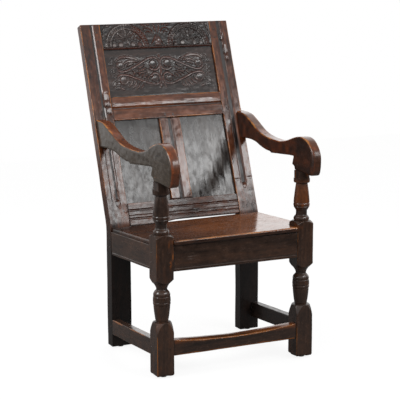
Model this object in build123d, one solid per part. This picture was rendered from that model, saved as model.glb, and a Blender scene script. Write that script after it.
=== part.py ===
from build123d import *
import os
from math import cos, radians, sin, sqrt, tan

# Joined oak armchair with a leaning panelled back, a wainscot chair. Millimetres, +Z up.
# While it is modelled, X = 0 is the middle of the chair, Y = 0 is the front face of the front
# posts, +Y runs to the back and Z = 0 is the floor. The last step moves the origin to the middle
# of the footprint.

os.makedirs("parts", exist_ok=True)

# ------------------------------------------------------------------ whole chair
front_width = 552.0  # across the outer faces of the front posts
back_narrowing = 3.0  # the back is this much narrower over its stiles
seat_depth = 374.5  # front face of the front posts to the front face of the back stiles
seat_height = 436.0  # top of the seat above the front face of the front posts
seat_fall = 23.0  # drop of the seat frame and the side stretchers over the seat depth
bend_drop = 26.0  # top of the seat at the front down to where the back stiles start to lean
rake = 21.0  # lean of the back from upright, in degrees

# ------------------------------------------------------------------ fits
joint_fit = 0.2  # clearance of a tenon in its mortise
peg_fit = 0.1  # clearance of a peg in its hole
panel_fit = 0.3  # clearance of a panel's faces in its groove
panel_play = 1.5  # room for a panel to swell at the floor of its groove
seat_fit = 0.5  # clearance of the seat board's notches

# ------------------------------------------------------------------ front posts
post_size = 58.0
foot_block_top = 131.0  # top of the square foot block
foot_shoulder_top = 176.5  # top of its long turned shoulder
foot_shoulder_radius = 28.5
foot_shoulder_rise = 20.0  # from mid shoulder to its top
foot_shoulder_bulge = 34.8  # radius at mid shoulder
leg_vase_foot = 19.3  # the leg's vase tapers from the foot to the top
leg_vase_middle = 23.8
leg_vase_top = 26.5
leg_drum_radius = 27.3
leg_ring_height = 10.0  # ring under the drum
leg_drum_height = 16.0
leg_ball_height = 20.0
leg_neck_radius = 16.8
leg_neck_height = 3.0
cup_radius = 28.5  # cup between the neck and the seat block
cup_height = 19.0
rail_block_shoulder = 14.0  # sloped end of the square seat block
rail_block_height = 125.0
rail_block_above_seat = 4.8
rail_block_crown = 12.0  # turned shoulder on top of the seat block
crown_radius = 29.0
torus_radius = 27.0
torus_height = 17.0
baluster_neck_radius = 17.5
baluster_neck_height = 16.0
baluster_belly_radius = 26.0
baluster_ring_height = 7.0  # spacing of the two ring lines on the belly
baluster_top_radius = 18.6
baluster_taper_height = 60.0
collar_radius = 26.0
collar_height = 37.0
collar_round_height = 12.0  # the rest of the collar is cut flat, flush with the arm
turned_groove = 1.4  # depth of a turned line
post_tenon_radius = 11.0
post_tenon_height = 34.0
foot_chamfer = 3.0

# ------------------------------------------------------------------ back stiles
stile_width = 70.0
leg_depth = 40.0
stile_depth_bend = 37.0  # square to the leaning face, just above the bend
stile_depth_top = 28.0

# ------------------------------------------------------------------ seat frame
rail_thickness = 28.0
rail_tenon_thickness = 9.0
rail_tenon_setback = 10.0  # outer face of a rail to its tenon
rail_tenon_shoulder = 9.0  # above and below a tenon
mortise_wall = 30.0  # left of a post behind a mortise
leg_mortise_wall = 14.0  # left of a leg behind a mortise
front_rail_height = 83.0
front_rail_setback = 1.7
side_rail_height = 77.0
side_rail_setback = 2.5
back_rail_height = 76.0
back_rail_thickness = 25.0
back_rail_setback = 2.0
back_rail_tenon = 34.0
bead_height = 9.0  # scratched line above the lower edge of the rails
bead_width = 3.0
bead_depth = 1.8

# ------------------------------------------------------------------ stretchers
stretcher_thickness = 26.0
stretcher_height = 51.0
stretcher_setback = 3.4
stretcher_tenon_thickness = 8.0
stretcher_tenon_setback = 9.0
stretcher_tenon_shoulder = 7.0
front_stretcher_bottom = 67.5
side_stretcher_bottom = 70.0  # at the front posts' front face
stretcher_wear = 9.0  # hollow worn into the front stretcher by feet

# ------------------------------------------------------------------ seat board
seat_thickness = 16.0
seat_overhang = 6.0  # nosing in front of the posts
seat_side_inset = 1.5  # seat edge inside the side rail's outer face
seat_bearing = 5.0  # on the back seat rail
nosing_radius = 6.0

# ------------------------------------------------------------------ back frame, measured up the slope
back_rail_gap = 6.5  # bend to the underside of the lower rail
lower_rail_height = 70.5
lower_opening = 284.0
middle_rail_height = 79.0
upper_opening = 167.0
crest_rail_height = 89.0
back_frame_thickness = 24.0
back_tenon_length = 38.0
back_tenon_shoulder = 14.0
muntin_width = 75.5
muntin_offset = -2.0
muntin_tenon_length = 25.0
muntin_tenon_shoulder = 12.0
panel_thickness = 8.0
panel_setback = 9.0  # frame face to panel face
panel_tongue = 9.0  # panel edge inside its groove
channel_width = 13.0  # run moulding down the middle of stiles, muntin and middle rail
channel_depth = 5.0
channel_stop = 96.0  # plain length at the foot of a stile, above the bend
strip_depth = 2.6  # grooves along the lower rail
strip_width = 5.0
strip_places = (0.22, 0.5, 0.68)  # shares of the lower rail's height

# ------------------------------------------------------------------ arms
arm_thickness = 34.0
arm_nose = 107.0  # from the post's axis to the arm's front
arm_hump = 115.0  # the arm's heights are above its seat on the post
arm_waist = 77.5  # hollow of the sweep
arm_shoulder = 136.0  # top of the arm at the stile
arm_shoulder_underside = 50.0
arm_waist_underside = 33.0
arm_heel = 15.0  # spur behind the post
arm_heel_reach = 41.0
arm_heel_inset = 3.0  # the seat on the post ends inside its collar at the back
arm_toe_gap = 2.0  # and runs on past the collar at the front
left_arm_splay = 0.6  # degrees, outwards to the back
right_arm_splay = 3.3
arm_lap = 26.0  # part of an arm outside its stile runs back this far
arm_lap_fit = 0.5  # clearance of that part from the stile's side
arm_tenon_thickness = 10.0
arm_tenon_length = 24.0
arm_tenon_shoulder = 14.0  # arm above the tenon, and twice this below it
arm_tenon_wall = 13.0  # least distance from the stile's outer face to the tenon's middle

# ------------------------------------------------------------------ pegs and glides
peg_radius = 3.5
peg_proud = 0.8
rail_peg_length = 33.0
back_peg_length = 25.0
leg_peg_length = 28.0
muntin_peg_spacing = 30.0
muntin_peg_edge = 9.5  # peg to the shoulder of the muntin
seat_peg_length = 42.0
seat_peg_edge = 12.0
seat_peg_rows = (209.0, 314.0)  # distance back of the seat pegs
arm_peg_length = 26.0
glide_radius = 11.0
glide_height = 4.0
glide_chamfer = 1.0
glide_nail_radius = 1.5
glide_nail_length = 12.0

# ------------------------------------------------------------------ places worked out from the sizes
slope = seat_fall / seat_depth
back_width = front_width - back_narrowing
bend_height = seat_height - bend_drop
post_x = (front_width - post_size) / 2
post_y = post_size / 2
post_inner = front_width / 2 - post_size
stile_inner = back_width / 2 - stile_width
stile_middle = back_width / 2 - stile_width / 2
seat_underside = seat_height - seat_thickness
side_rail_outer = front_width / 2 - side_rail_setback
side_stretcher_outer = front_width / 2 - stretcher_setback / 2
seat_edge = side_rail_outer - seat_side_inset
seat_back_edge = seat_depth + back_rail_setback + seat_bearing
mortise_depth = post_size - mortise_wall
leg_mortise_depth = leg_depth - leg_mortise_wall

lower_rail_low = back_rail_gap
lower_rail_high = lower_rail_low + lower_rail_height
middle_rail_low = lower_rail_high + lower_opening
middle_rail_high = middle_rail_low + middle_rail_height
crest_low = middle_rail_high + upper_opening
crest_high = crest_low + crest_rail_height
back_rail_spans = (
    (lower_rail_low, lower_rail_high),
    (middle_rail_low, middle_rail_high),
    (crest_low, crest_high),
)
muntin_left = muntin_offset - muntin_width / 2
muntin_right = muntin_offset + muntin_width / 2

# The seat block is placed by the seat, and the turned leg hangs below it: its vase takes up what is left.
rail_block_high = seat_height + rail_block_above_seat
rail_block_low = rail_block_high - rail_block_height
cup_high = rail_block_low - rail_block_shoulder
cup_low = cup_high - cup_height
leg_neck_low = cup_low - leg_neck_height
leg_drum_high = leg_neck_low - leg_ball_height - turned_groove
leg_drum_low = leg_drum_high - leg_drum_height
leg_ring_low = leg_drum_low - leg_ring_height
leg_vase_top_height = leg_ring_low - turned_groove
crown_high = rail_block_high + rail_block_crown
torus_high = crown_high + torus_height
baluster_neck_high = torus_high + baluster_neck_height
belly_low = baluster_neck_high + baluster_belly_radius / 2
belly_high = belly_low + 2 * baluster_ring_height
baluster_top = belly_high + baluster_taper_height
collar_low = baluster_top + turned_groove * 4
arm_underside = collar_low + collar_height

# The back plane lies in the front face of the leaning stiles: its x is X, its y runs up the slope
# from the bend and its z points out of the face to the sitter.
back_plane = Plane(
    origin=(0, seat_depth, bend_height),
    x_dir=(1, 0, 0),
    z_dir=(0, -cos(radians(rake)), sin(radians(rake))),
)
FAR = 2000.0  # larger than the chair, for cutting with half spaces


# ------------------------------------------------------------------ helpers
def block(x, y, z, grow=0.0):
    """Box between two places on each axis, made larger all round by grow."""
    size = [abs(span[1] - span[0]) + 2 * grow for span in (x, y, z)]
    middle = [(span[0] + span[1]) / 2 for span in (x, y, z)]
    return Pos(*middle) * Box(*size)


def prism(points, x):
    """Side outline of (Y, Z) points, carried across from one X to another."""
    low, high = sorted(x)
    face = Plane.YZ * make_face(Polyline(*points, close=True))
    return Pos(low, 0, 0) * extrude(face, high - low, dir=(1, 0, 0))


def falling_bar(x, y, low, high, grow=0.0):
    """Bar along Y that drops to the back with the seat frame. low and high are its heights at Y = 0."""
    front, back = y[0] - grow, y[1] + grow
    corners = [(front, low - grow), (back, low - grow), (back, high + grow), (front, high + grow)]
    points = [(place, height - slope * place) for place, height in corners]
    left, right = sorted(x)
    return prism(points, (left - grow, right + grow))


def bar_under_seat(x, y, low):
    """Bar along X with a level lower edge and a top that meets the underside of the seat."""
    front_top = seat_underside - slope * y[0]
    back_top = seat_underside - slope * y[1]
    return prism([(y[0], low), (y[1], low), (y[1], back_top), (y[0], front_top)], x)


def on_back(shape):
    """Takes a shape from the back plane's own axes to the chair."""
    return back_plane.location * shape


def pillar(radius, height):
    """Round bar standing on Z = 0."""
    return Cylinder(radius, height, align=(Align.CENTER, Align.CENTER, Align.MIN))


def peg(length):
    """Peg along +Z whose chamfered head stands proud below Z = 0."""
    shaft = pillar(peg_radius, length + peg_proud)
    shaft = chamfer(shaft.faces().sort_by(Axis.Z)[0].edges(), peg_proud * 0.7)
    return Pos(0, 0, -peg_proud) * shaft


def peg_hole(length):
    """Hole for a peg of the same length, open at the head."""
    return Pos(0, 0, -peg_proud) * pillar(peg_radius + peg_fit, length + peg_fit + peg_proud)


def looking_back(x, y, z):
    """Place of a peg driven in from the front."""
    return Pos(x, y, z) * Rot(-90, 0, 0)


def looking_front(x, y, z):
    """Place of a peg driven in from the back."""
    return Pos(x, y, z) * Rot(90, 0, 0)


def looking_in(side, x, y, z):
    """Place of a peg driven in from the side of the chair."""
    return Pos(x, y, z) * Rot(0, -90 * side, 0)


def on_face(x, up):
    """Place of a peg driven square into the leaning face of the back."""
    return back_plane.location * Pos(x, up, 0) * Rot(180, 0, 0)


def drill(piece, places, length):
    """Bores a piece for pegs at the given places."""
    for place in places:
        piece = piece - place * peg_hole(length)
    return piece


def stile_and_back_plane(side):
    """Everything behind the leaning face, inside the outer face of the stile on that side."""
    outer = back_width / 2 + arm_lap_fit
    return on_back(block((-side * FAR, side * outer), (-FAR, FAR), (-FAR, 0)))


def save(name, shapes):
    """Notes a node's solids for the export."""
    solids = [solid for shape in shapes for solid in shape.solids()]
    nodes[name] = solids


nodes = {}


# ------------------------------------------------------------------ tenons
def front_rail_tenon(side, grow=0.0):
    y_low = front_rail_setback + rail_tenon_setback
    low = seat_underside - front_rail_height + rail_tenon_shoulder
    high = seat_underside - slope * (y_low + rail_tenon_thickness) - rail_tenon_shoulder
    x = (side * (post_inner - joint_fit), side * (post_inner + mortise_depth))
    return block(x, (y_low, y_low + rail_tenon_thickness), (low, high), grow)


def side_rail_tenon_x(side):
    outer = side_rail_outer - rail_tenon_setback
    return side * outer, side * (outer - rail_tenon_thickness)


def side_rail_front_tenon(side, grow=0.0):
    y = (post_size - mortise_depth, post_size + joint_fit)
    low = seat_underside - side_rail_height + rail_tenon_shoulder
    return falling_bar(side_rail_tenon_x(side), y, low, seat_underside - rail_tenon_shoulder, grow)


def side_rail_back_tenon(side, grow=0.0):
    y = (seat_depth - joint_fit, seat_depth + leg_mortise_depth)
    low = seat_underside - side_rail_height + rail_tenon_shoulder
    return falling_bar(side_rail_tenon_x(side), y, low, seat_underside - rail_tenon_shoulder, grow)


def back_seat_rail_low():
    return seat_underside - slope * seat_depth - back_rail_height


def back_rail_tenon_block(side, grow=0.0):
    y_middle = seat_depth + back_rail_setback + back_rail_thickness / 2
    y = (y_middle - rail_tenon_thickness / 2, y_middle + rail_tenon_thickness / 2)
    low = back_seat_rail_low() + rail_tenon_shoulder
    high = seat_underside - slope * y[1] - rail_tenon_shoulder
    x = (side * (stile_inner - joint_fit), side * (stile_inner + back_rail_tenon))
    return block(x, y, (low, high), grow)


def front_stretcher_tenon(side, grow=0.0):
    y_low = stretcher_setback + stretcher_tenon_setback
    low = front_stretcher_bottom + stretcher_tenon_shoulder
    high = front_stretcher_bottom + stretcher_height - stretcher_tenon_shoulder
    x = (side * (post_inner - joint_fit), side * (post_inner + mortise_depth))
    return block(x, (y_low, y_low + stretcher_tenon_thickness), (low, high), grow)


def side_stretcher_tenon(side, y, grow=0.0):
    outer = side_stretcher_outer - stretcher_tenon_setback
    low = side_stretcher_bottom + stretcher_tenon_shoulder
    high = side_stretcher_bottom + stretcher_height - stretcher_tenon_shoulder
    x = (side * outer, side * (outer - stretcher_tenon_thickness))
    return falling_bar(x, y, low, high, grow)


def side_stretcher_front_tenon(side, grow=0.0):
    return side_stretcher_tenon(side, (post_size - mortise_depth, post_size + joint_fit), grow)


def side_stretcher_back_tenon(side, grow=0.0):
    return side_stretcher_tenon(side, (seat_depth - joint_fit, seat_depth + leg_mortise_depth), grow)


def back_frame_tenon(side, low, high, grow=0.0):
    """Tenon of a back rail, between two heights up the slope."""
    x = (side * (stile_inner - joint_fit), side * (stile_inner + back_tenon_length))
    depth = (-panel_setback - panel_thickness, -panel_setback)
    shouldered = (low + back_tenon_shoulder, high - back_tenon_shoulder)
    return on_back(block(x, shouldered, depth, grow))


def muntin_tenon(low, high, grow=0.0):
    x = (muntin_left + muntin_tenon_shoulder, muntin_right - muntin_tenon_shoulder)
    depth = (-panel_setback - panel_thickness, -panel_setback)
    return on_back(block(x, (low, high), depth, grow))


def muntin_low_tenon(grow=0.0):
    return muntin_tenon(lower_rail_high - muntin_tenon_length, lower_rail_high + joint_fit, grow)


def muntin_high_tenon(grow=0.0):
    return muntin_tenon(middle_rail_low - joint_fit, middle_rail_low + muntin_tenon_length, grow)


# ------------------------------------------------------------------ arms
arm_splays = {-1: left_arm_splay, 1: right_arm_splay}


def arm_place(side):
    """The arm is drawn with the post's axis at the origin, then swung outwards to the back."""
    return Pos(side * post_x, post_y, arm_underside) * Rot(0, 0, -side * arm_splays[side])


def arm_reach(height):
    """Distance from the post's axis back to the stile's face, at a height above the arm's underside."""
    rise = arm_underside + height - bend_height
    return seat_depth - post_y + rise * tan(radians(rake))


def arm_outline():
    """Side view of an arm: a shoulder at the stile, a hollow sweep, a hump and a drop front."""
    back = arm_reach(arm_shoulder)
    end = back + 2 * arm_lap
    dip = arm_shoulder - arm_waist
    rise = arm_hump - arm_waist
    drop = arm_shoulder_underside - arm_waist_underside
    top = Spline(
        (end, arm_shoulder + dip * 0.03),
        (back * 0.955, arm_shoulder),
        (back * 0.87, arm_waist + dip * 0.92),
        (back * 0.74, arm_waist + dip * 0.56),
        (back * 0.6, arm_waist + dip * 0.16),
        (back * 0.45, arm_waist),
        (back * 0.31, arm_waist),
        (back * 0.17, arm_waist + rise * 0.28),
        (back * 0.034, arm_waist + rise * 0.84),
        (-arm_nose * 0.25, arm_hump),
        (-arm_nose * 0.73, arm_hump * 0.87),
        (-arm_nose * 0.96, arm_hump * 0.66),
        (-arm_nose, arm_hump * 0.54),
    )
    front = Polyline(
        (-arm_nose, arm_hump * 0.54),
        (-arm_nose * 0.97, arm_hump * 0.19),
        (-arm_nose * 0.88, arm_hump * 0.01),
        (-arm_nose * 0.8, -arm_hump * 0.035),
        (-collar_radius - arm_toe_gap, 0),
        (collar_radius - arm_heel_inset, 0),
    )
    heel = Polyline(
        (collar_radius - arm_heel_inset, 0),
        (collar_radius - arm_heel_inset, arm_heel * 0.6),
        (arm_heel_reach, arm_heel),
        (arm_heel_reach * 0.73, arm_heel * 2.9),
        (back * 0.43, arm_waist_underside * 0.82),
        (back * 0.44, arm_waist_underside * 0.94),
    )
    under = Spline(
        (back * 0.44, arm_waist_underside * 0.94),
        (back * 0.51, arm_waist_underside),
        (back * 0.6, arm_waist_underside + drop * 0.35),
        (back * 0.73, arm_waist_underside + drop * 0.94),
        (back * 0.85, arm_waist_underside + drop * 1.1),
        (end, arm_waist_underside + drop * 0.65),
    )
    rear = Line((end, arm_waist_underside + drop * 0.65), (end, arm_shoulder + dip * 0.03))
    lines = (top, front, heel, under, rear)
    return Plane.YZ * make_face([edge for line in lines for edge in line.edges()])


def arm_tenon(side, grow=0.0):
    """Tenon of an arm, square to the stile's face."""
    low = arm_shoulder_underside + 2 * arm_tenon_shoulder
    high = arm_shoulder - arm_tenon_shoulder
    centre = post_x + arm_reach((low + high) / 2) * sin(radians(arm_splays[side]))
    centre = side * min(centre, back_width / 2 - arm_tenon_wall)
    x = (centre - arm_tenon_thickness / 2, centre + arm_tenon_thickness / 2)
    foot = arm_underside - bend_height
    up = [(foot + height) / cos(radians(rake)) for height in (low, high)]
    return on_back(block(x, up, (-arm_tenon_length, joint_fit), grow))


def arm_peg_places(side):
    middle = arm_place(side) * Pos(-side * arm_thickness / 2, 0, post_tenon_height / 2)
    return [middle * Rot(0, 90 * side, 0)]


def arm(side):
    body = extrude(arm_outline(), arm_thickness / 2, dir=(1, 0, 0), both=True)
    body = arm_place(side) * body
    body = body - on_back(block((-FAR, FAR), (-FAR, FAR), (-FAR, -arm_lap)))
    body = body - stile_and_back_plane(side)
    body = body + arm_tenon(side)
    body = body - arm_place(side) * pillar(post_tenon_radius + joint_fit, post_tenon_height + joint_fit)
    return drill(body, arm_peg_places(side), arm_peg_length)


# ------------------------------------------------------------------ peg places
def front_rail_peg_places(side):
    low = seat_underside - front_rail_height
    x = side * (post_inner + mortise_depth / 2)
    heights = (low + front_rail_height * 0.3, low + front_rail_height * 0.7)
    return [looking_back(x, 0, height) for height in heights]


def side_rail_peg_places(side):
    low = seat_underside - side_rail_height
    ends = (post_size - mortise_depth / 2, seat_depth + leg_mortise_depth / 2)
    outers = (front_width / 2, back_width / 2)
    places = []
    for y, outer in zip(ends, outers):
        for share in (0.3, 0.7):
            height = low + side_rail_height * share - slope * y
            places.append(looking_in(side, side * outer, y, height))
    return places


def back_rail_peg_places(side):
    low = back_seat_rail_low()
    x = side * (stile_inner + back_rail_tenon / 2)
    heights = (low + back_rail_height * 0.3, low + back_rail_height * 0.7)
    return [looking_front(x, seat_depth + leg_depth, height) for height in heights]


def front_stretcher_peg_places(side):
    x = side * (post_inner + mortise_depth / 2)
    return [looking_back(x, 0, front_stretcher_bottom + stretcher_height / 2)]


def side_stretcher_peg_places(side):
    ends = (post_size - mortise_depth / 2, seat_depth + leg_mortise_depth / 2)
    outers = (front_width / 2, back_width / 2)
    middle = side_stretcher_bottom + stretcher_height / 2
    return [
        looking_in(side, side * outer, y, middle - slope * y) for y, outer in zip(ends, outers)
    ]


def back_frame_peg_places(side):
    x = side * (stile_inner + back_tenon_length * 0.4)
    places = []
    for low, high in back_rail_spans:
        for share in (0.33, 0.67):
            places.append(on_face(x, low + (high - low) * share))
    return places


def muntin_peg_places():
    ups = (lower_rail_high - muntin_peg_edge, middle_rail_low + muntin_peg_edge)
    xs = (muntin_offset - muntin_peg_spacing / 2, muntin_offset + muntin_peg_spacing / 2)
    return [on_face(x, up) for up in ups for x in xs]


def seat_peg_places():
    """Seat pegs of both sides, driven down through the board into the side rails."""
    x = seat_edge - seat_peg_edge
    spots = [(side * x, y) for side in (-1, 1) for y in seat_peg_rows]
    return [Pos(x, y, seat_height - slope * y) * Rot(180, 0, 0) for x, y in spots]


# ------------------------------------------------------------------ front posts
def turned_outline():
    """Half outline of a front post, from the floor to the arm, with the axis at X = 0."""
    corner = post_size / sqrt(2) + 1
    vase_middle_height = (foot_shoulder_top + leg_vase_top_height) / 2
    foot = Polyline((0, glide_height), (corner, glide_height), (corner, foot_block_top))
    shoulder = ThreePointArc(
        (corner, foot_block_top),
        (foot_shoulder_bulge, foot_shoulder_top - foot_shoulder_rise),
        (foot_shoulder_radius, foot_shoulder_top),
    )
    step = Line((foot_shoulder_radius, foot_shoulder_top), (leg_vase_foot, foot_shoulder_top + turned_groove))
    vase = ThreePointArc(
        (leg_vase_foot, foot_shoulder_top + turned_groove),
        (leg_vase_middle, vase_middle_height),
        (leg_vase_top, leg_vase_top_height),
    )
    rings = Polyline(
        (leg_vase_top, leg_vase_top_height),
        (leg_vase_top - turned_groove, leg_ring_low - turned_groove / 2),
        (leg_vase_top, leg_ring_low),
        (leg_drum_radius, leg_drum_low - turned_groove * 2),
        (leg_drum_radius - turned_groove, leg_drum_low - turned_groove),
        (leg_drum_radius, leg_drum_low),
        (leg_drum_radius, leg_drum_high),
        (leg_drum_radius - turned_groove * 1.5, leg_drum_high + turned_groove),
    )
    ball = ThreePointArc(
        (leg_drum_radius - turned_groove * 1.5, leg_drum_high + turned_groove),
        ((leg_drum_radius + leg_neck_radius) / 2 + turned_groove, leg_neck_low - leg_ball_height * 0.35),
        (leg_neck_radius, leg_neck_low),
    )
    neck = Line((leg_neck_radius, leg_neck_low), (leg_neck_radius, cup_low))
    cup = ThreePointArc(
        (leg_neck_radius, cup_low),
        ((leg_neck_radius + cup_radius) / 2 + turned_groove, cup_low + cup_height * 0.4),
        (cup_radius, cup_high),
    )
    rail_block = Polyline((cup_radius, cup_high), (corner, rail_block_low), (corner, rail_block_high))
    crown = ThreePointArc(
        (corner, rail_block_high),
        ((corner + crown_radius) / 2 + turned_groove, rail_block_high + rail_block_crown * 0.6),
        (crown_radius, crown_high),
    )
    ledge = Line((crown_radius, crown_high), (torus_radius - turned_groove * 3, crown_high))
    torus = ThreePointArc(
        (torus_radius - turned_groove * 3, crown_high),
        (torus_radius, crown_high + torus_height * 0.35),
        (baluster_neck_radius + turned_groove * 2, torus_high),
    )
    waist = Polyline(
        (baluster_neck_radius + turned_groove * 2, torus_high),
        (baluster_neck_radius, torus_high + turned_groove * 2),
        (baluster_neck_radius, baluster_neck_high),
    )
    belly = ThreePointArc(
        (baluster_neck_radius, baluster_neck_high),
        (baluster_belly_radius - turned_groove * 2, (baluster_neck_high + belly_low) / 2),
        (baluster_belly_radius, belly_low),
    )
    belly_rings = Polyline(
        (baluster_belly_radius, belly_low),
        (baluster_belly_radius - turned_groove, belly_low + turned_groove),
        (baluster_belly_radius, belly_low + turned_groove * 2),
        (baluster_belly_radius, belly_high - turned_groove * 2),
        (baluster_belly_radius - turned_groove, belly_high - turned_groove),
        (baluster_belly_radius - turned_groove / 2, belly_high),
    )
    taper_middle = (baluster_belly_radius + baluster_top_radius) / 2
    taper = ThreePointArc(
        (baluster_belly_radius - turned_groove / 2, belly_high),
        (taper_middle + turned_groove, belly_high + baluster_taper_height * 0.45),
        (baluster_top_radius, baluster_top),
    )
    collar = Polyline(
        (baluster_top_radius, baluster_top),
        (baluster_top_radius, baluster_top + turned_groove * 2),
        (collar_radius - turned_groove, collar_low - turned_groove),
        (collar_radius, collar_low + turned_groove),
        (collar_radius, arm_underside),
        (0, arm_underside),
        (0, glide_height),
    )
    lines = (foot, shoulder, step, vase, rings, ball, neck, cup, rail_block, crown, ledge, torus)
    lines += (waist, belly, belly_rings, taper, collar)
    return Plane.XZ * make_face([edge for line in lines for edge in line.edges()])


def front_post(side):
    turned = revolve(turned_outline(), Axis.Z)
    square = block((-post_y, post_y), (-post_y, post_y), (0, arm_underside + 1))
    body = turned & square
    body = chamfer(body.faces().sort_by(Axis.Z)[0].edges(), foot_chamfer)
    flats = (collar_low + collar_round_height, arm_underside + 1)
    for face in (-1, 1):
        x = (face * arm_thickness / 2, face * post_size)
        body = body - Rot(0, 0, -side * arm_splays[side]) * block(x, (-post_size, post_size), flats)
    body = Pos(side * post_x, post_y, 0) * body
    body = body + Pos(side * post_x, post_y, arm_underside) * pillar(post_tenon_radius, post_tenon_height)
    body = body - front_rail_tenon(side, joint_fit) - side_rail_front_tenon(side, joint_fit)
    body = body - front_stretcher_tenon(side, joint_fit) - side_stretcher_front_tenon(side, joint_fit)
    body = drill(body, front_rail_peg_places(side) + front_stretcher_peg_places(side), rail_peg_length)
    body = drill(body, side_rail_peg_places(side)[:2] + side_stretcher_peg_places(side)[:1], leg_peg_length)
    body = drill(body, arm_peg_places(side), arm_peg_length)
    return body - Pos(side * post_x, post_y, 0) * glide_nail(peg_fit)


# ------------------------------------------------------------------ back stiles
def stile_outline():
    """Side view of a stile: an upright leg that leans back above the seat."""
    across, up = cos(radians(rake)), sin(radians(rake))
    top_front = (seat_depth + crest_high * up, bend_height + crest_high * across)
    top_back = (top_front[0] + stile_depth_top * across, top_front[1] - stile_depth_top * up)
    bend_back = bend_height + (leg_depth - stile_depth_bend / across) / tan(radians(rake))
    return [
        (seat_depth, glide_height),
        (seat_depth, bend_height),
        top_front,
        top_back,
        (seat_depth + leg_depth, bend_back),
        (seat_depth + leg_depth, glide_height),
    ]


def hollow(middle, width, depth):
    """Section of a hollow moulding as (along the face, out of the face) points."""
    low, high = middle - width / 2, middle + width / 2
    return Polyline((low, 1), (low, 0), (middle, -depth), (high, 0), (high, 1), close=True)


def channel(x, low, high):
    """Hollow moulding run up the back, with its middle at x."""
    outline = Plane.XZ * make_face(hollow(x, channel_width, channel_depth))
    return on_back(Pos(0, low, 0) * extrude(outline, high - low, dir=(0, 1, 0)))


def cross_channel(up, width, depth):
    """Hollow moulding run across the back between the stiles, at a height up the slope."""
    outline = Plane.YZ * make_face(hollow(up, width, depth))
    return on_back(Pos(-stile_inner, 0, 0) * extrude(outline, 2 * stile_inner, dir=(1, 0, 0)))


def back_stile(side):
    body = prism(stile_outline(), (side * stile_inner, side * back_width / 2))
    body = chamfer(body.faces().sort_by(Axis.Z)[0].edges(), foot_chamfer)
    body = body - channel(side * stile_middle, channel_stop, crest_high + channel_width)
    body = body - side_rail_back_tenon(side, joint_fit) - back_rail_tenon_block(side, joint_fit)
    body = body - side_stretcher_back_tenon(side, joint_fit) - arm_tenon(side, joint_fit)
    for low, high in back_rail_spans:
        body = body - back_frame_tenon(side, low, high, joint_fit)
    body = body - panel_pockets()
    body = drill(body, back_frame_peg_places(side), back_peg_length)
    leg_places = side_rail_peg_places(side)[2:] + side_stretcher_peg_places(side)[1:]
    body = drill(body, leg_places + back_rail_peg_places(side), leg_peg_length)
    return body - leg_foot(side) * glide_nail(peg_fit)


# ------------------------------------------------------------------ back frame and panels
def panel(x, low, high, grow_edge=0.0, grow_face=0.0):
    """Panel between the inner edges of its frame, tongued into them all round."""
    edge = panel_tongue + grow_edge
    depth = (-panel_setback - panel_thickness - grow_face, -panel_setback + grow_face)
    return on_back(block((x[0] - edge, x[1] + edge), (low - edge, high + edge), depth))


def panel_spans():
    """The three openings of the back frame: across, and up the slope."""
    return {
        "upper_back_panel": ((-stile_inner, stile_inner), middle_rail_high, crest_low),
        "left_back_panel": ((-stile_inner, muntin_left), lower_rail_high, middle_rail_low),
        "right_back_panel": ((muntin_right, stile_inner), lower_rail_high, middle_rail_low),
    }


def panel_pockets():
    """Room that the grooves of the frame leave for all three panels."""
    return [panel(*span, grow_edge=panel_play, grow_face=panel_fit) for span in panel_spans().values()]


def back_rail_body(low, high):
    body = on_back(block((-stile_inner, stile_inner), (low, high), (-back_frame_thickness, 0)))
    for side in (-1, 1):
        body = body + back_frame_tenon(side, low, high)
    body = body - panel_pockets()
    for side in (-1, 1):
        body = drill(body, back_frame_peg_places(side), back_peg_length)
    return drill(body, muntin_peg_places(), back_peg_length)


def crest_rail():
    return back_rail_body(crest_low, crest_high)


def middle_back_rail():
    body = back_rail_body(middle_rail_low, middle_rail_high) - muntin_high_tenon(joint_fit)
    return body - cross_channel((middle_rail_low + middle_rail_high) / 2, channel_width, channel_depth)


def lower_back_rail():
    body = back_rail_body(lower_rail_low, lower_rail_high) - muntin_low_tenon(joint_fit)
    level = lower_rail_low * cos(radians(rake)) + bend_height
    body = body - block((-stile_inner, stile_inner), (0, FAR), (0, level))
    for share in strip_places:
        body = body - cross_channel(lower_rail_low + lower_rail_height * share, strip_width, strip_depth)
    return body


def back_muntin():
    body = on_back(
        block((muntin_left, muntin_right), (lower_rail_high, middle_rail_low), (-back_frame_thickness, 0))
    )
    body = body + muntin_low_tenon() + muntin_high_tenon() - panel_pockets()
    body = body - channel(muntin_offset, lower_rail_high, middle_rail_low)
    return drill(body, muntin_peg_places(), back_peg_length)


# ------------------------------------------------------------------ seat frame and stretchers
def bead_line(y, x, height):
    """Scratched line along the front face of a rail."""
    points = [(y - 1, height - bead_width / 2), (y, height - bead_width / 2), (y + bead_depth, height)]
    points += [(y, height + bead_width / 2), (y - 1, height + bead_width / 2)]
    return prism(points, x)


def front_seat_rail():
    low = seat_underside - front_rail_height
    y = (front_rail_setback, front_rail_setback + rail_thickness)
    body = bar_under_seat((-post_inner, post_inner), y, low)
    body = body - bead_line(y[0], (-post_inner, post_inner), low + bead_height)
    for side in (-1, 1):
        body = body + front_rail_tenon(side)
        body = drill(body, front_rail_peg_places(side), rail_peg_length)
    return body


def back_seat_rail():
    y = (seat_depth + back_rail_setback, seat_depth + back_rail_setback + back_rail_thickness)
    body = bar_under_seat((-stile_inner, stile_inner), y, back_seat_rail_low())
    for side in (-1, 1):
        body = body + back_rail_tenon_block(side)
        body = drill(body, back_rail_peg_places(side), leg_peg_length)
    return body


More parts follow.
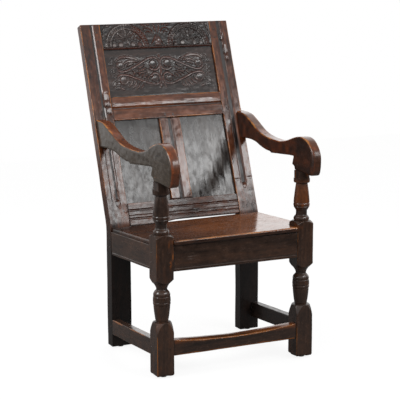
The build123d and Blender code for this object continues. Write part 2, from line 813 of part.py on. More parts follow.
def side_seat_rail(side):
    low = seat_underside - side_rail_height
    outer = side * side_rail_outer
    y = (post_size, seat_depth)
    body = falling_bar((outer, outer - side * rail_thickness), y, low, seat_underside)
    bead = (low + bead_height - bead_width / 2, low + bead_height + bead_width / 2)
    body = body - falling_bar((outer, outer - side * bead_depth), y, *bead)
    body = body + side_rail_front_tenon(side) + side_rail_back_tenon(side)
    body = drill(body, side_rail_peg_places(side), leg_peg_length)
    pegs = [place for place in seat_peg_places() if place.position.X * side > 0]
    return drill(body, pegs, seat_peg_length)


def front_stretcher():
    high = front_stretcher_bottom + stretcher_height
    y = (stretcher_setback, stretcher_setback + stretcher_thickness)
    top = ThreePointArc((-post_inner, high), (0, high - stretcher_wear), (post_inner, high))
    rest = Polyline(
        (post_inner, high),
        (post_inner, front_stretcher_bottom),
        (-post_inner, front_stretcher_bottom),
        (-post_inner, high),
    )
    outline = Plane.XZ * make_face([*top.edges(), *rest.edges()])
    body = Pos(0, y[0], 0) * extrude(outline, stretcher_thickness, dir=(0, 1, 0))
    for side in (-1, 1):
        body = body + front_stretcher_tenon(side)
        body = drill(body, front_stretcher_peg_places(side), rail_peg_length)
    return body


def side_stretcher(side):
    x = (side * side_stretcher_outer, side * (side_stretcher_outer - stretcher_thickness))
    low = side_stretcher_bottom
    body = falling_bar(x, (post_size, seat_depth), low, low + stretcher_height)
    body = body + side_stretcher_front_tenon(side) + side_stretcher_back_tenon(side)
    return drill(body, side_stretcher_peg_places(side), leg_peg_length)


def seat_board():
    y = (-seat_overhang, seat_back_edge)
    body = falling_bar((-seat_edge, seat_edge), y, seat_underside, seat_height)
    nose = body.edges().filter_by(Axis.X).sort_by(Axis.Y)[:2]
    body = fillet(nose, nosing_radius)
    for side in (-1, 1):
        x = (side * (post_inner - seat_fit), side * FAR)
        body = body - block(x, (-FAR, post_size + seat_fit), (0, FAR))
        x = (side * (stile_inner - seat_fit), side * FAR)
        body = body - block(x, (seat_depth - seat_fit, FAR), (0, FAR))
    return drill(body, seat_peg_places(), seat_peg_length)


# ------------------------------------------------------------------ glides
def leg_foot(side):
    """Middle of a stile's foot, on the floor."""
    return Pos(side * stile_middle, seat_depth + leg_depth / 2, 0)


def glide_nail(grow=0.0):
    return Pos(0, 0, glide_height) * pillar(glide_nail_radius + grow, glide_nail_length + grow)


def foot_glide():
    pad = pillar(glide_radius, glide_height)
    pad = chamfer(pad.faces().sort_by(Axis.Z)[0].edges(), glide_chamfer)
    return pad + glide_nail()


def foot_glides():
    feet = []
    for side in (-1, 1):
        feet.append(Pos(side * post_x, post_y, 0) * foot_glide())
        feet.append(leg_foot(side) * foot_glide())
    return feet


# ------------------------------------------------------------------ the chair
def pegs(places, length):
    return [place * peg(length) for place in places]


def both(places):
    """Places on the left and then on the right."""
    return places(-1) + places(1)


def build_chair():
    for side, name in ((-1, "left"), (1, "right")):
        save(name + "_front_post", [front_post(side)])
        save(name + "_back_stile", [back_stile(side)])
        save(name + "_arm", [arm(side)])
        save(name + "_seat_rail", [side_seat_rail(side)])
        save(name + "_stretcher", [side_stretcher(side)])
    save("front_seat_rail", [front_seat_rail()])
    save("back_seat_rail", [back_seat_rail()])
    save("front_stretcher", [front_stretcher()])
    save("seat_board", [seat_board()])
    save("crest_rail", [crest_rail()])
    save("middle_back_rail", [middle_back_rail()])
    save("lower_back_rail", [lower_back_rail()])
    save("back_muntin", [back_muntin()])
    for name, span in panel_spans().items():
        save(name, [panel(*span)])
    save("front_rail_pegs", pegs(both(front_rail_peg_places), rail_peg_length))
    save("side_rail_pegs", pegs(both(side_rail_peg_places), leg_peg_length))
    save("back_rail_pegs", pegs(both(back_rail_peg_places), leg_peg_length))
    save("front_stretcher_pegs", pegs(both(front_stretcher_peg_places), rail_peg_length))
    save("side_stretcher_pegs", pegs(both(side_stretcher_peg_places), leg_peg_length))
    save("back_frame_pegs", pegs(both(back_frame_peg_places), back_peg_length))
    save("muntin_pegs", pegs(muntin_peg_places(), back_peg_length))
    save("arm_pegs", pegs(both(arm_peg_places), arm_peg_length))
    save("seat_pegs", pegs(seat_peg_places(), seat_peg_length))
    save("foot_glides", foot_glides())


build_chair()
box = Compound(children=[solid for solids in nodes.values() for solid in solids]).bounding_box()
to_origin = Pos(-(box.min.X + box.max.X) / 2, -(box.min.Y + box.max.Y) / 2, -box.min.Z)
for name, solids in nodes.items():
    export_step(Compound(children=[to_origin * solid for solid in solids]), f"parts/{name}.step")
print(len(nodes), "nodes, overall", [round(size, 1) for size in box.size])
print("origin is at", [round(value, 2) for value in (-to_origin.position.X, -to_origin.position.Y)])
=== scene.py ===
from math import cos, pi, radians, sin

import bmesh
import bpy
import numpy as np
from mathutils import Matrix, Vector


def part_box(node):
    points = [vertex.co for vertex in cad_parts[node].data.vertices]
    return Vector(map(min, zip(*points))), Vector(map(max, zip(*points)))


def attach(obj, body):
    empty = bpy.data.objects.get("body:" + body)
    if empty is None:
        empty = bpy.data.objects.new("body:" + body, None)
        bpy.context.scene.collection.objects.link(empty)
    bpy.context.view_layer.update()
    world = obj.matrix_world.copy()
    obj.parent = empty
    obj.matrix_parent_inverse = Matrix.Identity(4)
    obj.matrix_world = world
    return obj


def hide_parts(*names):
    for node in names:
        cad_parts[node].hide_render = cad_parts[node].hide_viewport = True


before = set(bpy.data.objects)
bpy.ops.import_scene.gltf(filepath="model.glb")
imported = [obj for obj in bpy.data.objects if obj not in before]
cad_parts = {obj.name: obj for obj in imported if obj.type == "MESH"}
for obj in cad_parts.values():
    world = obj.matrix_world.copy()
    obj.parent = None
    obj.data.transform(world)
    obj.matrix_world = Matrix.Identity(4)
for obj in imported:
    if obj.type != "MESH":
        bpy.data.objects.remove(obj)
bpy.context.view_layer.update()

# Joined oak armchair. Shapes are worked out in the chair's own axes, in millimetres: X = 0 is the
# middle of the chair, Y = 0 the front face of the front posts and Z = 0 the floor. to_scene() takes
# them to the frame, whose nodes give where those faces are.
MM = 0.001
left_post, right_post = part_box("left_front_post"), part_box("right_front_post")
ORIGIN = np.array(((left_post[0].x + right_post[1].x) / 2, left_post[0].y, 0))
SIDES = {-1: "left", 1: "right"}


def node_box(node):
    """Low and high corner of a node in the chair's own axes, in millimetres."""
    return [(corner - Vector(ORIGIN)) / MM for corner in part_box(node)]


POST = node_box("right_front_post")
STILE = node_box("right_back_stile")
POST_SIZE = POST[1].x - POST[0].x
POST_INNER = POST[0].x
POST_AXIS = (POST[0].x + POST[1].x) / 2
STILE_INNER, STILE_OUTER = STILE[0].x, STILE[1].x
FLOOR_GAP = STILE[0].z
BACK_FACE_Y = STILE[0].y
# The stiles bend backwards at this height, over this length and by this angle.
BEND, BEND_LENGTH, RAKE = 410.0, 34.0, radians(21.0)
STILE_DEPTH = 40.0
CREST_HIGH = (STILE[1].z - BEND) / cos(RAKE)
SEAT_FALL = 23.0 / 374.5
ARM_UNDERSIDE = 615.4
# Rails of the back up its slope from the bend, and the muntin across it.
LOWER_RAIL, MIDDLE_RAIL, CREST_RAIL = (6.5, 77.0), (361.0, 440.0), (607.0, 696.0)
MUNTIN = (-39.75, 35.75)
RAIL_DEPTH = 24.0
PANEL_SETBACK, PANEL_DEPTH = 9.0, 17.0


# ---------- numbers
def noise(points, size, seed):
    """Smooth value noise from -1 to 1, with features of about the given size."""
    q = np.asarray(points, float) / size + seed * 17.31 + 100.0
    cell = np.floor(q)
    f = q - cell
    f = f * f * (3 - 2 * f)
    total = np.zeros(q.shape[:-1])
    for corner in np.ndindex(2, 2, 2):
        c = cell + corner
        value = np.sin(c[..., 0] * 12.9898 + c[..., 1] * 78.233 + c[..., 2] * 37.719) * 43758.5453
        value = (value - np.floor(value)) * 2 - 1
        total += np.prod(np.where(corner, f, 1 - f), axis=-1) * value
    return total


def noise_at(size, seed, x, y, z=0.0):
    """The same noise, over coordinates that are given one by one."""
    return noise(np.stack(np.broadcast_arrays(x, y, z), -1), size, seed)


def unit(value):
    return np.clip(value, 0, 1)


def ease(low, high, value):
    """Eases from 0 at low to 1 at high."""
    t = unit((value - low) / (high - low))
    return t * t * (3 - 2 * t)


def curve(points, count):
    """Points spaced along a Catmull-Rom curve through the given ones."""
    p = np.asarray(points, float)
    p = np.vstack([2 * p[0] - p[1], p, 2 * p[-1] - p[-2]])
    t = np.linspace(0, len(p) - 3, count * 8)
    i = np.minimum(t.astype(int), len(p) - 4)
    f = (t - i)[:, None]
    a, b, c, d = p[i], p[i + 1], p[i + 2], p[i + 3]
    fine = 0.5 * (2 * b + (c - a) * f + (2 * a - 5 * b + 4 * c - d) * f**2 + (3 * b - a - 3 * c + d) * f**3)
    length = np.r_[0, np.cumsum(np.linalg.norm(np.diff(fine, axis=0), axis=1))]
    want = np.linspace(0, length[-1], count)
    return np.stack([np.interp(want, length, column) for column in fine.T], axis=1)


# ---------- meshes
def to_scene(points):
    return np.asarray(points, float) * MM + ORIGIN


def back_points(x, up, out):
    """Points given across, up the slope of the back and out of its face."""
    y = BACK_FACE_Y + up * sin(RAKE) - out * cos(RAKE)
    z = BEND + up * cos(RAKE) + out * sin(RAKE)
    return np.stack(np.broadcast_arrays(x, y, z), axis=-1)


def add_object(name, data):
    obj = bpy.data.objects.new(name, data)
    bpy.context.scene.collection.objects.link(obj)
    return obj


def make_piece(name, points, faces, node, slot, material, grain=0.0, wear_and_highlight=0.0, dirt_and_shade=0.0, warm=0.0):
    """Piece from chair points and faces."""
    mesh = bpy.data.meshes.new(name)
    mesh.from_pydata(to_scene(points).tolist(), [], faces)
    mesh.validate()
    obj = add_object(name, mesh)
    finish_mesh(obj)
    dress(obj, node, slot, material, grain, wear_and_highlight, dirt_and_shade, warm)
    return obj


def finish_mesh(obj, angle=50):
    mesh = obj.data
    bm = bmesh.new()
    bm.from_mesh(mesh)
    bmesh.ops.recalc_face_normals(bm, faces=bm.faces)
    bm.to_mesh(mesh)
    bm.free()
    mesh.polygons.foreach_set("use_smooth", [True] * len(mesh.polygons))
    mesh.set_sharp_from_angle(angle=radians(angle))
    mesh.update()


def dress(obj, node, slot, material, grain, wear_and_highlight, dirt_and_shade, warm):
    """Gives a piece its material and the values that the material reads, hangs it on the root body and hides
    the frame's part that it stands for.

    The grain is the place along and across it, in millimetres, which the figure follows.
    """
    mesh = obj.data
    mesh.materials.append(materials[material])
    vectors = np.zeros((len(mesh.vertices), 3)) + grain
    mesh.attributes.new("grain", "FLOAT_VECTOR", "POINT").data.foreach_set("vector", (vectors * MM).ravel())
    for name, value in (("wear_and_highlight", wear_and_highlight), ("dirt_and_shade", dirt_and_shade), ("warm", warm)):
        values = np.zeros(len(mesh.vertices)) + np.ravel(value)
        mesh.attributes.new(name, "FLOAT", "POINT").data.foreach_set("value", values)
    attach(obj, "root")
    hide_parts(node)


def read_vectors(collection, name):
    values = np.empty(len(collection) * 3)
    collection.foreach_get(name, values)
    return values.reshape(-1, 3)


def put_points(obj, points):
    obj.data.vertices.foreach_set("co", to_scene(points).ravel())
    obj.data.update()


def mesh_normals(obj):
    return read_vectors(obj.data.vertex_normals, "vector")


def roughen(obj, points, seed, large, small=0.12):
    """Moves a piece's points along their normals by hand-made unevenness in millimetres."""
    uneven = large * noise(points, 85.0, seed) + small * noise(points, 14.0, seed + 3)
    put_points(obj, points + mesh_normals(obj) * uneven[:, None])


def blurred(obj, values, rounds):
    """Vectors averaged over each point's neighbours, several times over."""
    edges = np.empty(len(obj.data.edges) * 2, int)
    obj.data.edges.foreach_get("vertices", edges)
    a, b = edges[::2], edges[1::2]
    count = np.maximum(np.bincount(edges, minlength=len(values)), 1)
    for _ in range(rounds):
        total = [np.bincount(np.r_[a, b], np.r_[part[b], part[a]], len(count)) for part in values.T]
        values = (values + np.stack(total, axis=1) / count[:, None]) / 2
    return values


def loft(rings):
    """Points and quads round and along a stack of closed rings, with a face on each end."""
    stations, around = rings.shape[:2]
    index = np.arange(stations * around).reshape(stations, around)
    turned = np.roll(index, -1, axis=1)
    quads = np.stack([index[:-1], turned[:-1], turned[1:], index[1:]], axis=-1).reshape(-1, 4)
    return rings.reshape(-1, 3), quads.tolist() + [index[0][::-1].tolist(), index[-1].tolist()]


# ---------- straight members
def rounded_bar(length, low, high, radius, counts, end_round, step, seed):
    """Ring points of a bar as (station, ring point) arrays of along, u and v, and their edge distance.

    u runs across the front face from low[0] to high[0], v into the wood from low[1] to high[1]. The
    arrises are rounded by radius, more in some places than in others.
    """
    ends = np.array([0.0, 0.3, 0.65]) * end_round
    along = np.unique(np.r_[ends, np.linspace(0, length, max(3, int(length / step)))[1:-1], length - ends])
    to_end = unit(np.minimum(along, length - along) / end_round)
    inset = end_round * (1 - np.sqrt(1 - (1 - to_end) ** 2))
    (u0, v0), (u1, v1) = [value + inset for value in low], [value - inset for value in high]
    corners = np.array([(u0, v0), (u1, v0), (u1, v1), (u0, v1)])
    signs = np.array([(1, 1), (-1, 1), (-1, -1), (1, -1)])
    wobble = [0.5 + 0.5 * noise_at(45.0, seed + k, along, k * 50.0, seed * 31.0) for k in range(4)]
    radii = radius * (0.55 + np.square(wobble))
    ring, arris = [], []
    for k, count in enumerate(counts):
        after, axis = (k + 1) % 4, k % 2
        for a in np.linspace(0, pi / 2, 5):
            turn = a if axis else pi / 2 - a
            ring.append(corners[k] + signs[k][:, None] * radii[k] * [[1 - sin(turn)], [1 - cos(turn)]])
            arris.append(np.zeros_like(along))
        start = corners[k, axis] + signs[k, axis] * radii[k]
        end = corners[after, axis] + signs[after, axis] * radii[after]
        for t in np.linspace(0, 1, count + 2)[1:-1]:
            point = corners[k].copy()
            point[axis] = start + (end - start) * t
            ring.append(point)
            arris.append(np.minimum(abs(point[axis] - start), abs(point[axis] - end)))
    u, v = np.stack(ring, axis=-1)
    return np.repeat(along[:, None], u.shape[1], axis=1), u, v, np.stack(arris, axis=1)


def shifted(base, *corners):
    """Section of a moulding, (place across, depth) at its corners, whose places are counted from base."""
    return [(base + at, deep) for at, deep in corners]


def channel(lip, wide, deep):
    """Section of a channel that is steep on one side and rises to a rounded lip on the other."""
    return shifted(lip, (-wide, 0), (1 - wide, deep), (-6.0, 4.8), (-1.3, 0.5), (0, 0))


def moulded(along, u, v, mouldings, stop, run_out=14.0):
    """Depth cut below the front face by run mouldings, which may stop short of the bar's foot."""
    depth = [np.interp(u, *zip(*sorted(section))) for section in mouldings]
    live = 1.0 if stop is None else ease(stop, stop + run_out, along)
    return np.max([0 * u, *depth], axis=0) * live * ease(3.0, 0.2, v)


def bruised(along, u, dents):
    """Knocks in a face, each (place along, place across, reach along, reach across, depth)."""
    depth = np.zeros_like(u)
    for at_along, at_u, reach_along, reach_u, deep in dents:
        away_along, away_u = (along - at_along) / reach_along, (u - at_u) / reach_u
        away = abs(away_along) ** 3 + abs(away_u) ** 3 + 0.3 * noise_at(9.0, 5, along, u, at_u)
        sloping = 0.5 - 0.34 * away_along - 0.16 * np.sign(at_u) * away_u
        depth = np.maximum(depth, deep * ease(1.1, 0.6, away) * unit(sloping))
    return depth


def bar_piece(node, place, length, low, high, radius=1.6, mouldings=(), stop=None, material="frame",
              front_count=30, side_count=8, step=5.0, seed=1, end_round=0.3, shape=None, wear_gain=1.0,
              large=0.45, dents=(), joined=True, warm=0.0, painted_shade=0.0):
    """Straight member: place turns (along, u, v) into chair points, and shape may bend it first.

    warm may be a function of u, and the painted shade, which darkens the bar and dulls its worn arrises, one
    of the place along.
    """
    counts = (front_count, side_count, front_count // 3, side_count)
    along, u, v, arris = rounded_bar(length, low, high, radius, counts, end_round, step, seed)
    cut = moulded(along, u, v, mouldings, stop)
    dent = bruised(along, u, dents) * (v < 3)
    v = v + cut + dent
    if shape is not None:
        u, v = shape(along, u, v)
    # Painted shade, given along the bar, darkens it and dulls its worn arrises.
    darkening = painted_shade(along) if callable(painted_shade) else painted_shade
    wear_and_highlight = (0.45 * np.exp(-arris / 1.8) + 0.4 * np.exp(-arris / 7.0)) * wear_gain * (1 - 1.2 * darkening)
    # The bottoms of deep moulding cuts are darkened as painted shade, and dents with grime.
    dirt_and_shade = np.maximum(ease(3.2, 4.6, cut) * 0.8 + np.clip(dent / 8.0, 0, 0.1), darkening)
    if joined:
        ends = np.minimum(along, length - along)
        wear_and_highlight = wear_and_highlight * ease(1.0, 9.0, ends)
        dirt_and_shade = np.maximum(dirt_and_shade, np.exp(-ends / 2.2) * 0.9)
    rings, faces = loft(place(along, u, v))
    grain = np.stack([along, u, v], axis=-1).reshape(-1, 3) + seed * 137.0
    obj = make_piece(node + "_worn", rings, faces, node, "frame_oak", material, grain, wear_and_highlight,
                     unit(dirt_and_shade), warm(u) if callable(warm) else warm)
    roughen(obj, rings, seed, large)


# ---------- materials
class Graph:
    """Short way to write the shader nodes of a material or world."""

    def __init__(self, owner):
        owner.use_nodes = True
        self.tree = owner.node_tree
        self.tree.nodes.clear()

    def node(self, kind, inputs=(), **settings):
        """Outputs of a new node, given its settings and what its sockets hold or are fed by."""
        made = self.tree.nodes.new("ShaderNode" + kind)
        for key, value in settings.items():
            setattr(made, key, value)
        for socket, value in dict(inputs).items():
            if isinstance(value, bpy.types.NodeSocket):
                self.tree.links.new(value, made.inputs[socket])
            elif value is not None:
                made.inputs[socket].default_value = value
        return made.outputs

    def attribute(self, name, output="Fac"):
        return self.node("Attribute", attribute_name=name)[output]

    def math(self, operation, a, b):
        return self.node("Math", {0: a, 1: b}, operation=operation)[0]

    def total(self, *terms):
        """Sum of values that are each given with a weight."""
        summed = self.math("MULTIPLY", *terms[0])
        for value, weight in terms[1:]:
            summed = self.math("ADD", summed, self.math("MULTIPLY", value, weight))
        return summed

    def noise(self, vector, scale, detail=3.0, roughness=0.55, distortion=0.0, shift=(0, 0, 0)):
        """Noise whose features are 1 / scale long along each axis."""
        place = self.node("Mapping", {"Vector": vector, "Scale": scale, "Location": shift})[0]
        return self.node("TexNoise", {"Vector": place, "Scale": 1.0, "Detail": detail,
                                      "Roughness": roughness, "Distortion": distortion})["Fac"]

    def ramp(self, value, *stops):
        """Colour from stops that are each a value and a colour."""
        colour = self.node("ValToRGB", {0: value})[0]
        elements = colour.node.color_ramp.elements
        for at, shade in stops[2:]:
            elements.new(at)
        for element, (at, shade) in zip(elements, stops):
            element.position, element.color = at, (*shade, 1)
        return colour

    def span(self, value, low, high, to_low=0.0, to_high=1.0):
        return self.node("MapRange", enumerate((value, low, high, to_low, to_high)),
                         interpolation_type="SMOOTHSTEP")[0]

    def mix(self, factor, a, b):
        a, b = (value if isinstance(value, bpy.types.NodeSocket) else (*value, 1) for value in (a, b))
        return self.node("Mix", {0: factor, 6: a, 7: b}, data_type="RGBA")[2]

    def seen_and_mirrored(self):
        """1 for rays that show a thing to the camera, and 1 for those that mirror it."""
        path = self.node("LightPath")
        return self.math("MAXIMUM", path["Is Camera Ray"], path["Is Transmission Ray"]), path["Is Glossy Ray"]

    def surface(self, colour, roughness, height, bump_strength, bump_distance):
        """Finishes a material of the chair."""
        bump = {"Height": height, "Strength": bump_strength, "Distance": bump_distance}
        looks = {"Base Color": colour, "Roughness": roughness, "Normal": self.node("Bump", bump)[0]}
        self.node("OutputMaterial", {"Surface": self.node("BsdfPrincipled", looks)[0]})


# Colour of grime in the hollows and of painted shade.
DIRT_AND_SHADE = (0.005, 0.004, 0.0035)


def oak(name, dark, middle, light, edge, edge_reach, gloss=0.13, streak=1.0, relief=0.5,
        warm=(0.20, 0.062, 0.018), ripple=(45, 80, 80)):
    """Old waxed oak: streaked figure and pores along the grain, worn arrises, which on carved oak are a pale
    painted highlight, and darkening by grime in the hollows and by painted shade.
    """
    material = bpy.data.materials.new(name)
    g = Graph(material)
    grain, dirt_and_shade_level = g.attribute("grain", "Vector"), g.attribute("dirt_and_shade")
    broad = g.noise(grain, (5, 16, 16))
    band = g.noise(grain, (7, 95, 95), 5, 0.6, 0.4)
    fibre = g.noise(grain, (24, 520, 520), 2, 0.6)
    mottle = g.noise(grain, ripple, 4, 0.6)
    patches = g.noise(grain, (14, 55, 55), 5, 0.65, shift=(3, 1, 2))
    tone = g.total((broad, 0.55), (band, 0.45 * streak), (mottle, 0.45), (1.0, -0.225))
    colour = g.ramp(tone, (0.33, dark), (0.50, middle), (0.68, light))
    warmth = g.math("MULTIPLY", g.attribute("warm"), g.span(tone, 0.30, 0.62, 0.35, 1.0))
    colour = g.mix(warmth, colour, warm)
    pores = g.span(fibre, 0.38, 0.31)
    colour = g.mix(g.math("MULTIPLY", pores, 0.5), colour, [0.35 * c for c in dark])
    # Worn arrises take the edge colour; on the carved oak that colour is a pale painted highlight.
    worn = g.total((g.attribute("wear_and_highlight"), 1.0), (patches, 2.6), (1.0, -1.3))
    worn = g.span(worn, 1.05 - edge_reach, 1.5 - edge_reach, 0.0, 0.85)
    colour = g.mix(worn, colour, g.mix(band, [0.55 * c for c in edge], edge))
    # Grime and painted shade darken the colour as the pieces ask.
    colour = g.mix(g.span(dirt_and_shade_level, 0.1, 0.9, 0.0, 0.94), colour, DIRT_AND_SHADE)
    waxed = g.span(mottle, 0.3, 0.75, gloss - 0.06, gloss + 0.14)
    roughness = g.total((waxed, 1.0), (pores, 0.12), (dirt_and_shade_level, 0.3))
    g.surface(colour, roughness, g.total((band, 0.35), (fibre, 0.06), (mottle, 0.45)), 0.6, relief * MM)
    return material


def glide_plastic():
    """Brown nylon of the glides, with a pale rim below that is a painted reflection."""
    material = bpy.data.materials.new("glide_nylon")
    g = Graph(material)
    place = g.node("TexCoord")["Object"]
    speckle = g.noise(place, (900, 900, 900))
    # The bottom rim is a pale painted reflection.
    rim = g.span(g.node("SeparateXYZ", {0: place})["Z"], 0.0022, 0.0012)
    colour = g.ramp(speckle, (0.3, (0.05, 0.03, 0.02)), (0.7, (0.11, 0.07, 0.045)))
    colour = g.mix(rim, colour, (0.42, 0.36, 0.27))
    g.surface(colour, g.span(speckle, 0.2, 0.8, 0.4, 0.6), speckle, 0.3, 0.3 * MM)
    return material


materials = {
    "frame": oak("frame_oak", (0.022, 0.013, 0.0095), (0.044, 0.0235, 0.0160), (0.078, 0.037, 0.022),
                 (0.38, 0.13, 0.03), edge_reach=0.38, gloss=0.17, warm=(0.17, 0.05, 0.013)),
    "back": oak("back_oak", (0.016, 0.007, 0.005), (0.074, 0.021, 0.008), (0.200, 0.057, 0.018),
                (0.46, 0.155, 0.03), edge_reach=0.52, relief=0.7, warm=(0.16, 0.046, 0.014)),
    "panel": oak("panel_oak", (0.012, 0.009, 0.008), (0.023, 0.017, 0.014), (0.042, 0.030, 0.022),
                 (0.12, 0.05, 0.02), edge_reach=0.1, gloss=0.17, ripple=(38, 62, 62)),
    # The carved oak's pale grey edge colour is a painted highlight on its raised strokes.
    "carved": oak("carved_oak", (0.014, 0.011, 0.010), (0.026, 0.0165, 0.014), (0.050, 0.025, 0.018),
                  (0.27, 0.235, 0.22), edge_reach=0.42, gloss=0.11, relief=0.6, warm=(0.095, 0.021, 0.009)),
    "arm": oak("arm_oak", (0.046, 0.034, 0.025), (0.062, 0.045, 0.032), (0.084, 0.059, 0.040),
               (0.60, 0.23, 0.05), edge_reach=0.62, gloss=0.15, streak=0.6, relief=0.22,
               warm=(0.27, 0.058, 0.013)),
    "seat": oak("seat_oak", (0.022, 0.009, 0.006), (0.055, 0.019, 0.009), (0.12, 0.040, 0.015),
                (0.60, 0.23, 0.06), edge_reach=0.75, streak=1.2, relief=0.35, warm=(0.26, 0.085, 0.026)),
    "glide": glide_plastic(),
}


# ---------- back stiles
def stile_place(along, u, v):
    """Takes (length from the foot, across, depth) to the chair, round the stile's bend."""
    straight = BEND - FLOOR_GAP

    def lean(at):
        return RAKE * unit((at - straight) / BEND_LENGTH + 0.5)

    fine = np.linspace(0, CREST_HIGH + straight, 2000)
    face_y = BACK_FACE_Y + np.cumsum(np.sin(lean(fine)) * fine[1])
    face_z = FLOOR_GAP + np.cumsum(np.cos(lean(fine)) * fine[1]) - fine[1]
    y = np.interp(along, fine, face_y) + v * np.cos(lean(along))
    z = np.interp(along, fine, face_z) - v * np.sin(lean(along))
    return np.stack([u, y, z], axis=-1)


def back_stile(side):
    """Stile with a channel and a scribed line that stop above the seat; the right one has a splice."""
    foot = BEND - FLOOR_GAP
    length = foot + CREST_HIGH
    low, high = sorted((side * STILE_INNER, side * STILE_OUTER))
    if side < 0:
        start, wide, line, stop = low + 34.0, 13.5, low + 19.0, foot + 84.0
        leg_painted_shade, back_painted_shade = 0.5, 0.3
        dents = [(443, -222, 15, 11, 3.9), (420, -220, 15, 12, 3.9), (397, -216, 15, 9, 3.9),
                 (96, -236, 30, 9, 2.5), (60, -214, 16, 8, 1.6), (72, -232, 10, 6, 1.5)]
    else:
        start, wide, line, stop = low + 27.0, 19.0, low + 23.0, foot + 104.0
        leg_painted_shade, back_painted_shade = 0.75, 0.1
        dents = [(640, 246, 13, 8, 4.5), (590, 252, 16, 8, 5.0), (566, 253, 15, 6, 4.0),
                 (300, 232, 14, 6, 1.6), (110, 240, 16, 8, 1.4)]
    scribed = shifted(line, (-1.6, 0), (0, 1.0), (1.6, 0))

    def tapered(along, u, v):
        depth = np.interp(along, (foot, foot + 30, length), (STILE_DEPTH, 37.0, 28.0))
        if side > 0:
            from_splice = along - foot - 124 - (u - low) * 0.08
            v = v + np.interp(from_splice, (-1.6, 0, 1.6), (0, 1.0, 0)) * (v < 3)
        return u, np.where(v < 10, v, 10 + (v - 10) * (depth - 10) / 30.0)

    # Painted shade: the leg under the seat is painted darker, and the lower back above the seat too, more on
    # the left stile.
    def darkening(along):
        leg = ease(foot + 60, foot - 110, along)
        return leg_painted_shade * leg + back_painted_shade * ease(foot + 260, foot + 60, along)

    bar_piece(SIDES[side] + "_back_stile", stile_place, length, (low, 0.0), (high, STILE_DEPTH), 1.8,
              [channel(start + wide, wide, 4.6), scribed], stop, material="back", front_count=110,
              side_count=10, seed=3 + side, shape=tapered, end_round=2.5, joined=False, step=4.0,
              dents=[(foot + at, *rest) for at, *rest in dents], painted_shade=darkening)


# ---------- rails of the back
def across_back(along, u, v):
    """Bar across the back: along it is X from the left stile, u is up the slope and v into the wood."""
    return back_points(along - STILE_INNER, u, -v)


def up_back(along, u, v):
    """Bar up the back from the lower rail: u is X and v into the wood."""
    return back_points(u, along + LOWER_RAIL[1], -v)


def middle_back_rail():
    low, high = MIDDLE_RAIL
    cove = shifted(high, (0, 0.9), (-17, 0), (-23, 0.1), (-32.5, 0.95), (-34.5, 3.2), (-39, 4.4),
                   (-41.5, 4.2), (-43, 1.4), (-44, 1.2), (low - high, 0))

    def scraped(along, u, v):
        strokes = noise_at(7.0, 14, along / 9, u) + 0.5 * noise_at(2.8, 15, along / 7, u)
        near = ease(high - 37, high - 31, u) * ease(high - 16, high - 24, u)
        return u, v + (0.06 + 0.28 * near) * strokes * (v < 8)

    bar_piece("middle_back_rail", across_back, 2 * STILE_INNER, (low, 0.0), (high, RAIL_DEPTH), 1.8, [cove],
              material="back", front_count=80, seed=7, large=0.6, warm=0.35, shape=scraped)


def lower_back_rail():
    low, high = LOWER_RAIL
    steps = shifted(high, (-21, 0), (-23.5, 3.0), (-27, 3.0), (-28.5, 0.8), (-40, 0.8), (-41, 1.6),
                    (-42.5, 0), (-50, 0), (-52, 2.6), (-55, 2.6), (-57, 0))

    def uneven_foot(along, u, v):
        lift = np.interp(along, [110, 175], [-4.0, 4.5])
        return u + lift * ease(22, 7, u), v

    # The lower rail is painted darker all over as shade.
    bar_piece("lower_back_rail", across_back, 2 * STILE_INNER, (low, 0.0), (high, RAIL_DEPTH), 1.4, [steps],
              material="back", front_count=80, seed=9, large=0.7, shape=uneven_foot, painted_shade=0.36,
              dents=[(235, high - 46, 26, 4, 1.6), (262, high - 36, 20, 5, 1.4),
                     (150, high - 47, 18, 4, 1.2), (330, high - 45, 30, 4, 1.2)])


def back_muntin():
    left, right = MUNTIN
    bar_piece("back_muntin", up_back, MIDDLE_RAIL[0] - LOWER_RAIL[1], (left, 0.0), (right, RAIL_DEPTH),
              mouldings=[channel(left + 47.0, 17, 4.2)], material="back", front_count=110, seed=11, warm=0.25)


# ---------- seat frame and stretchers
SEAT_RAIL_DEPTH, STRETCHER_DEPTH, BACK_SEAT_RAIL_DEPTH = 28.0, 26.0, 25.0
# Heights at the posts of what falls to the back with the seat.
SIDE_RAIL, SIDE_STRETCHER = (343.0, 419.5), (70.0, 121.0)


def across_front(y):
    """Bar across the front: along it is X from the left post, u is up and v into the wood."""
    return lambda along, u, v: np.stack([along - POST_INNER, y + v, u], axis=-1)


def down_side(side, x):
    """Bar along a side that falls to the back with the seat: u is its height at the front."""
    def place(along, u, v):
        y = along + POST_SIZE
        return np.stack([side * (x - v), y, u - SEAT_FALL * y], axis=-1)
    return place


def front_seat_rail():
    low, high = node_box("front_seat_rail")
    foot = low.z
    bead = shifted(foot, (7, 0), (9.5, 0.9), (11, 0.9), (13.5, 0))
    dents = [(62, foot + 36, 14, 1.6, 1.2), (70, foot + 44, 22, 1.4, 1.0), (180, foot + 20, 9, 1.4, 0.9)]
    bar_piece("front_seat_rail", across_front(low.y), 2 * POST_INNER, (foot, 0.0),
              (high.z - 0.5, SEAT_RAIL_DEPTH), 1.5, [bead], front_count=90, seed=13, wear_gain=0.35,
              large=0.6, dents=dents)


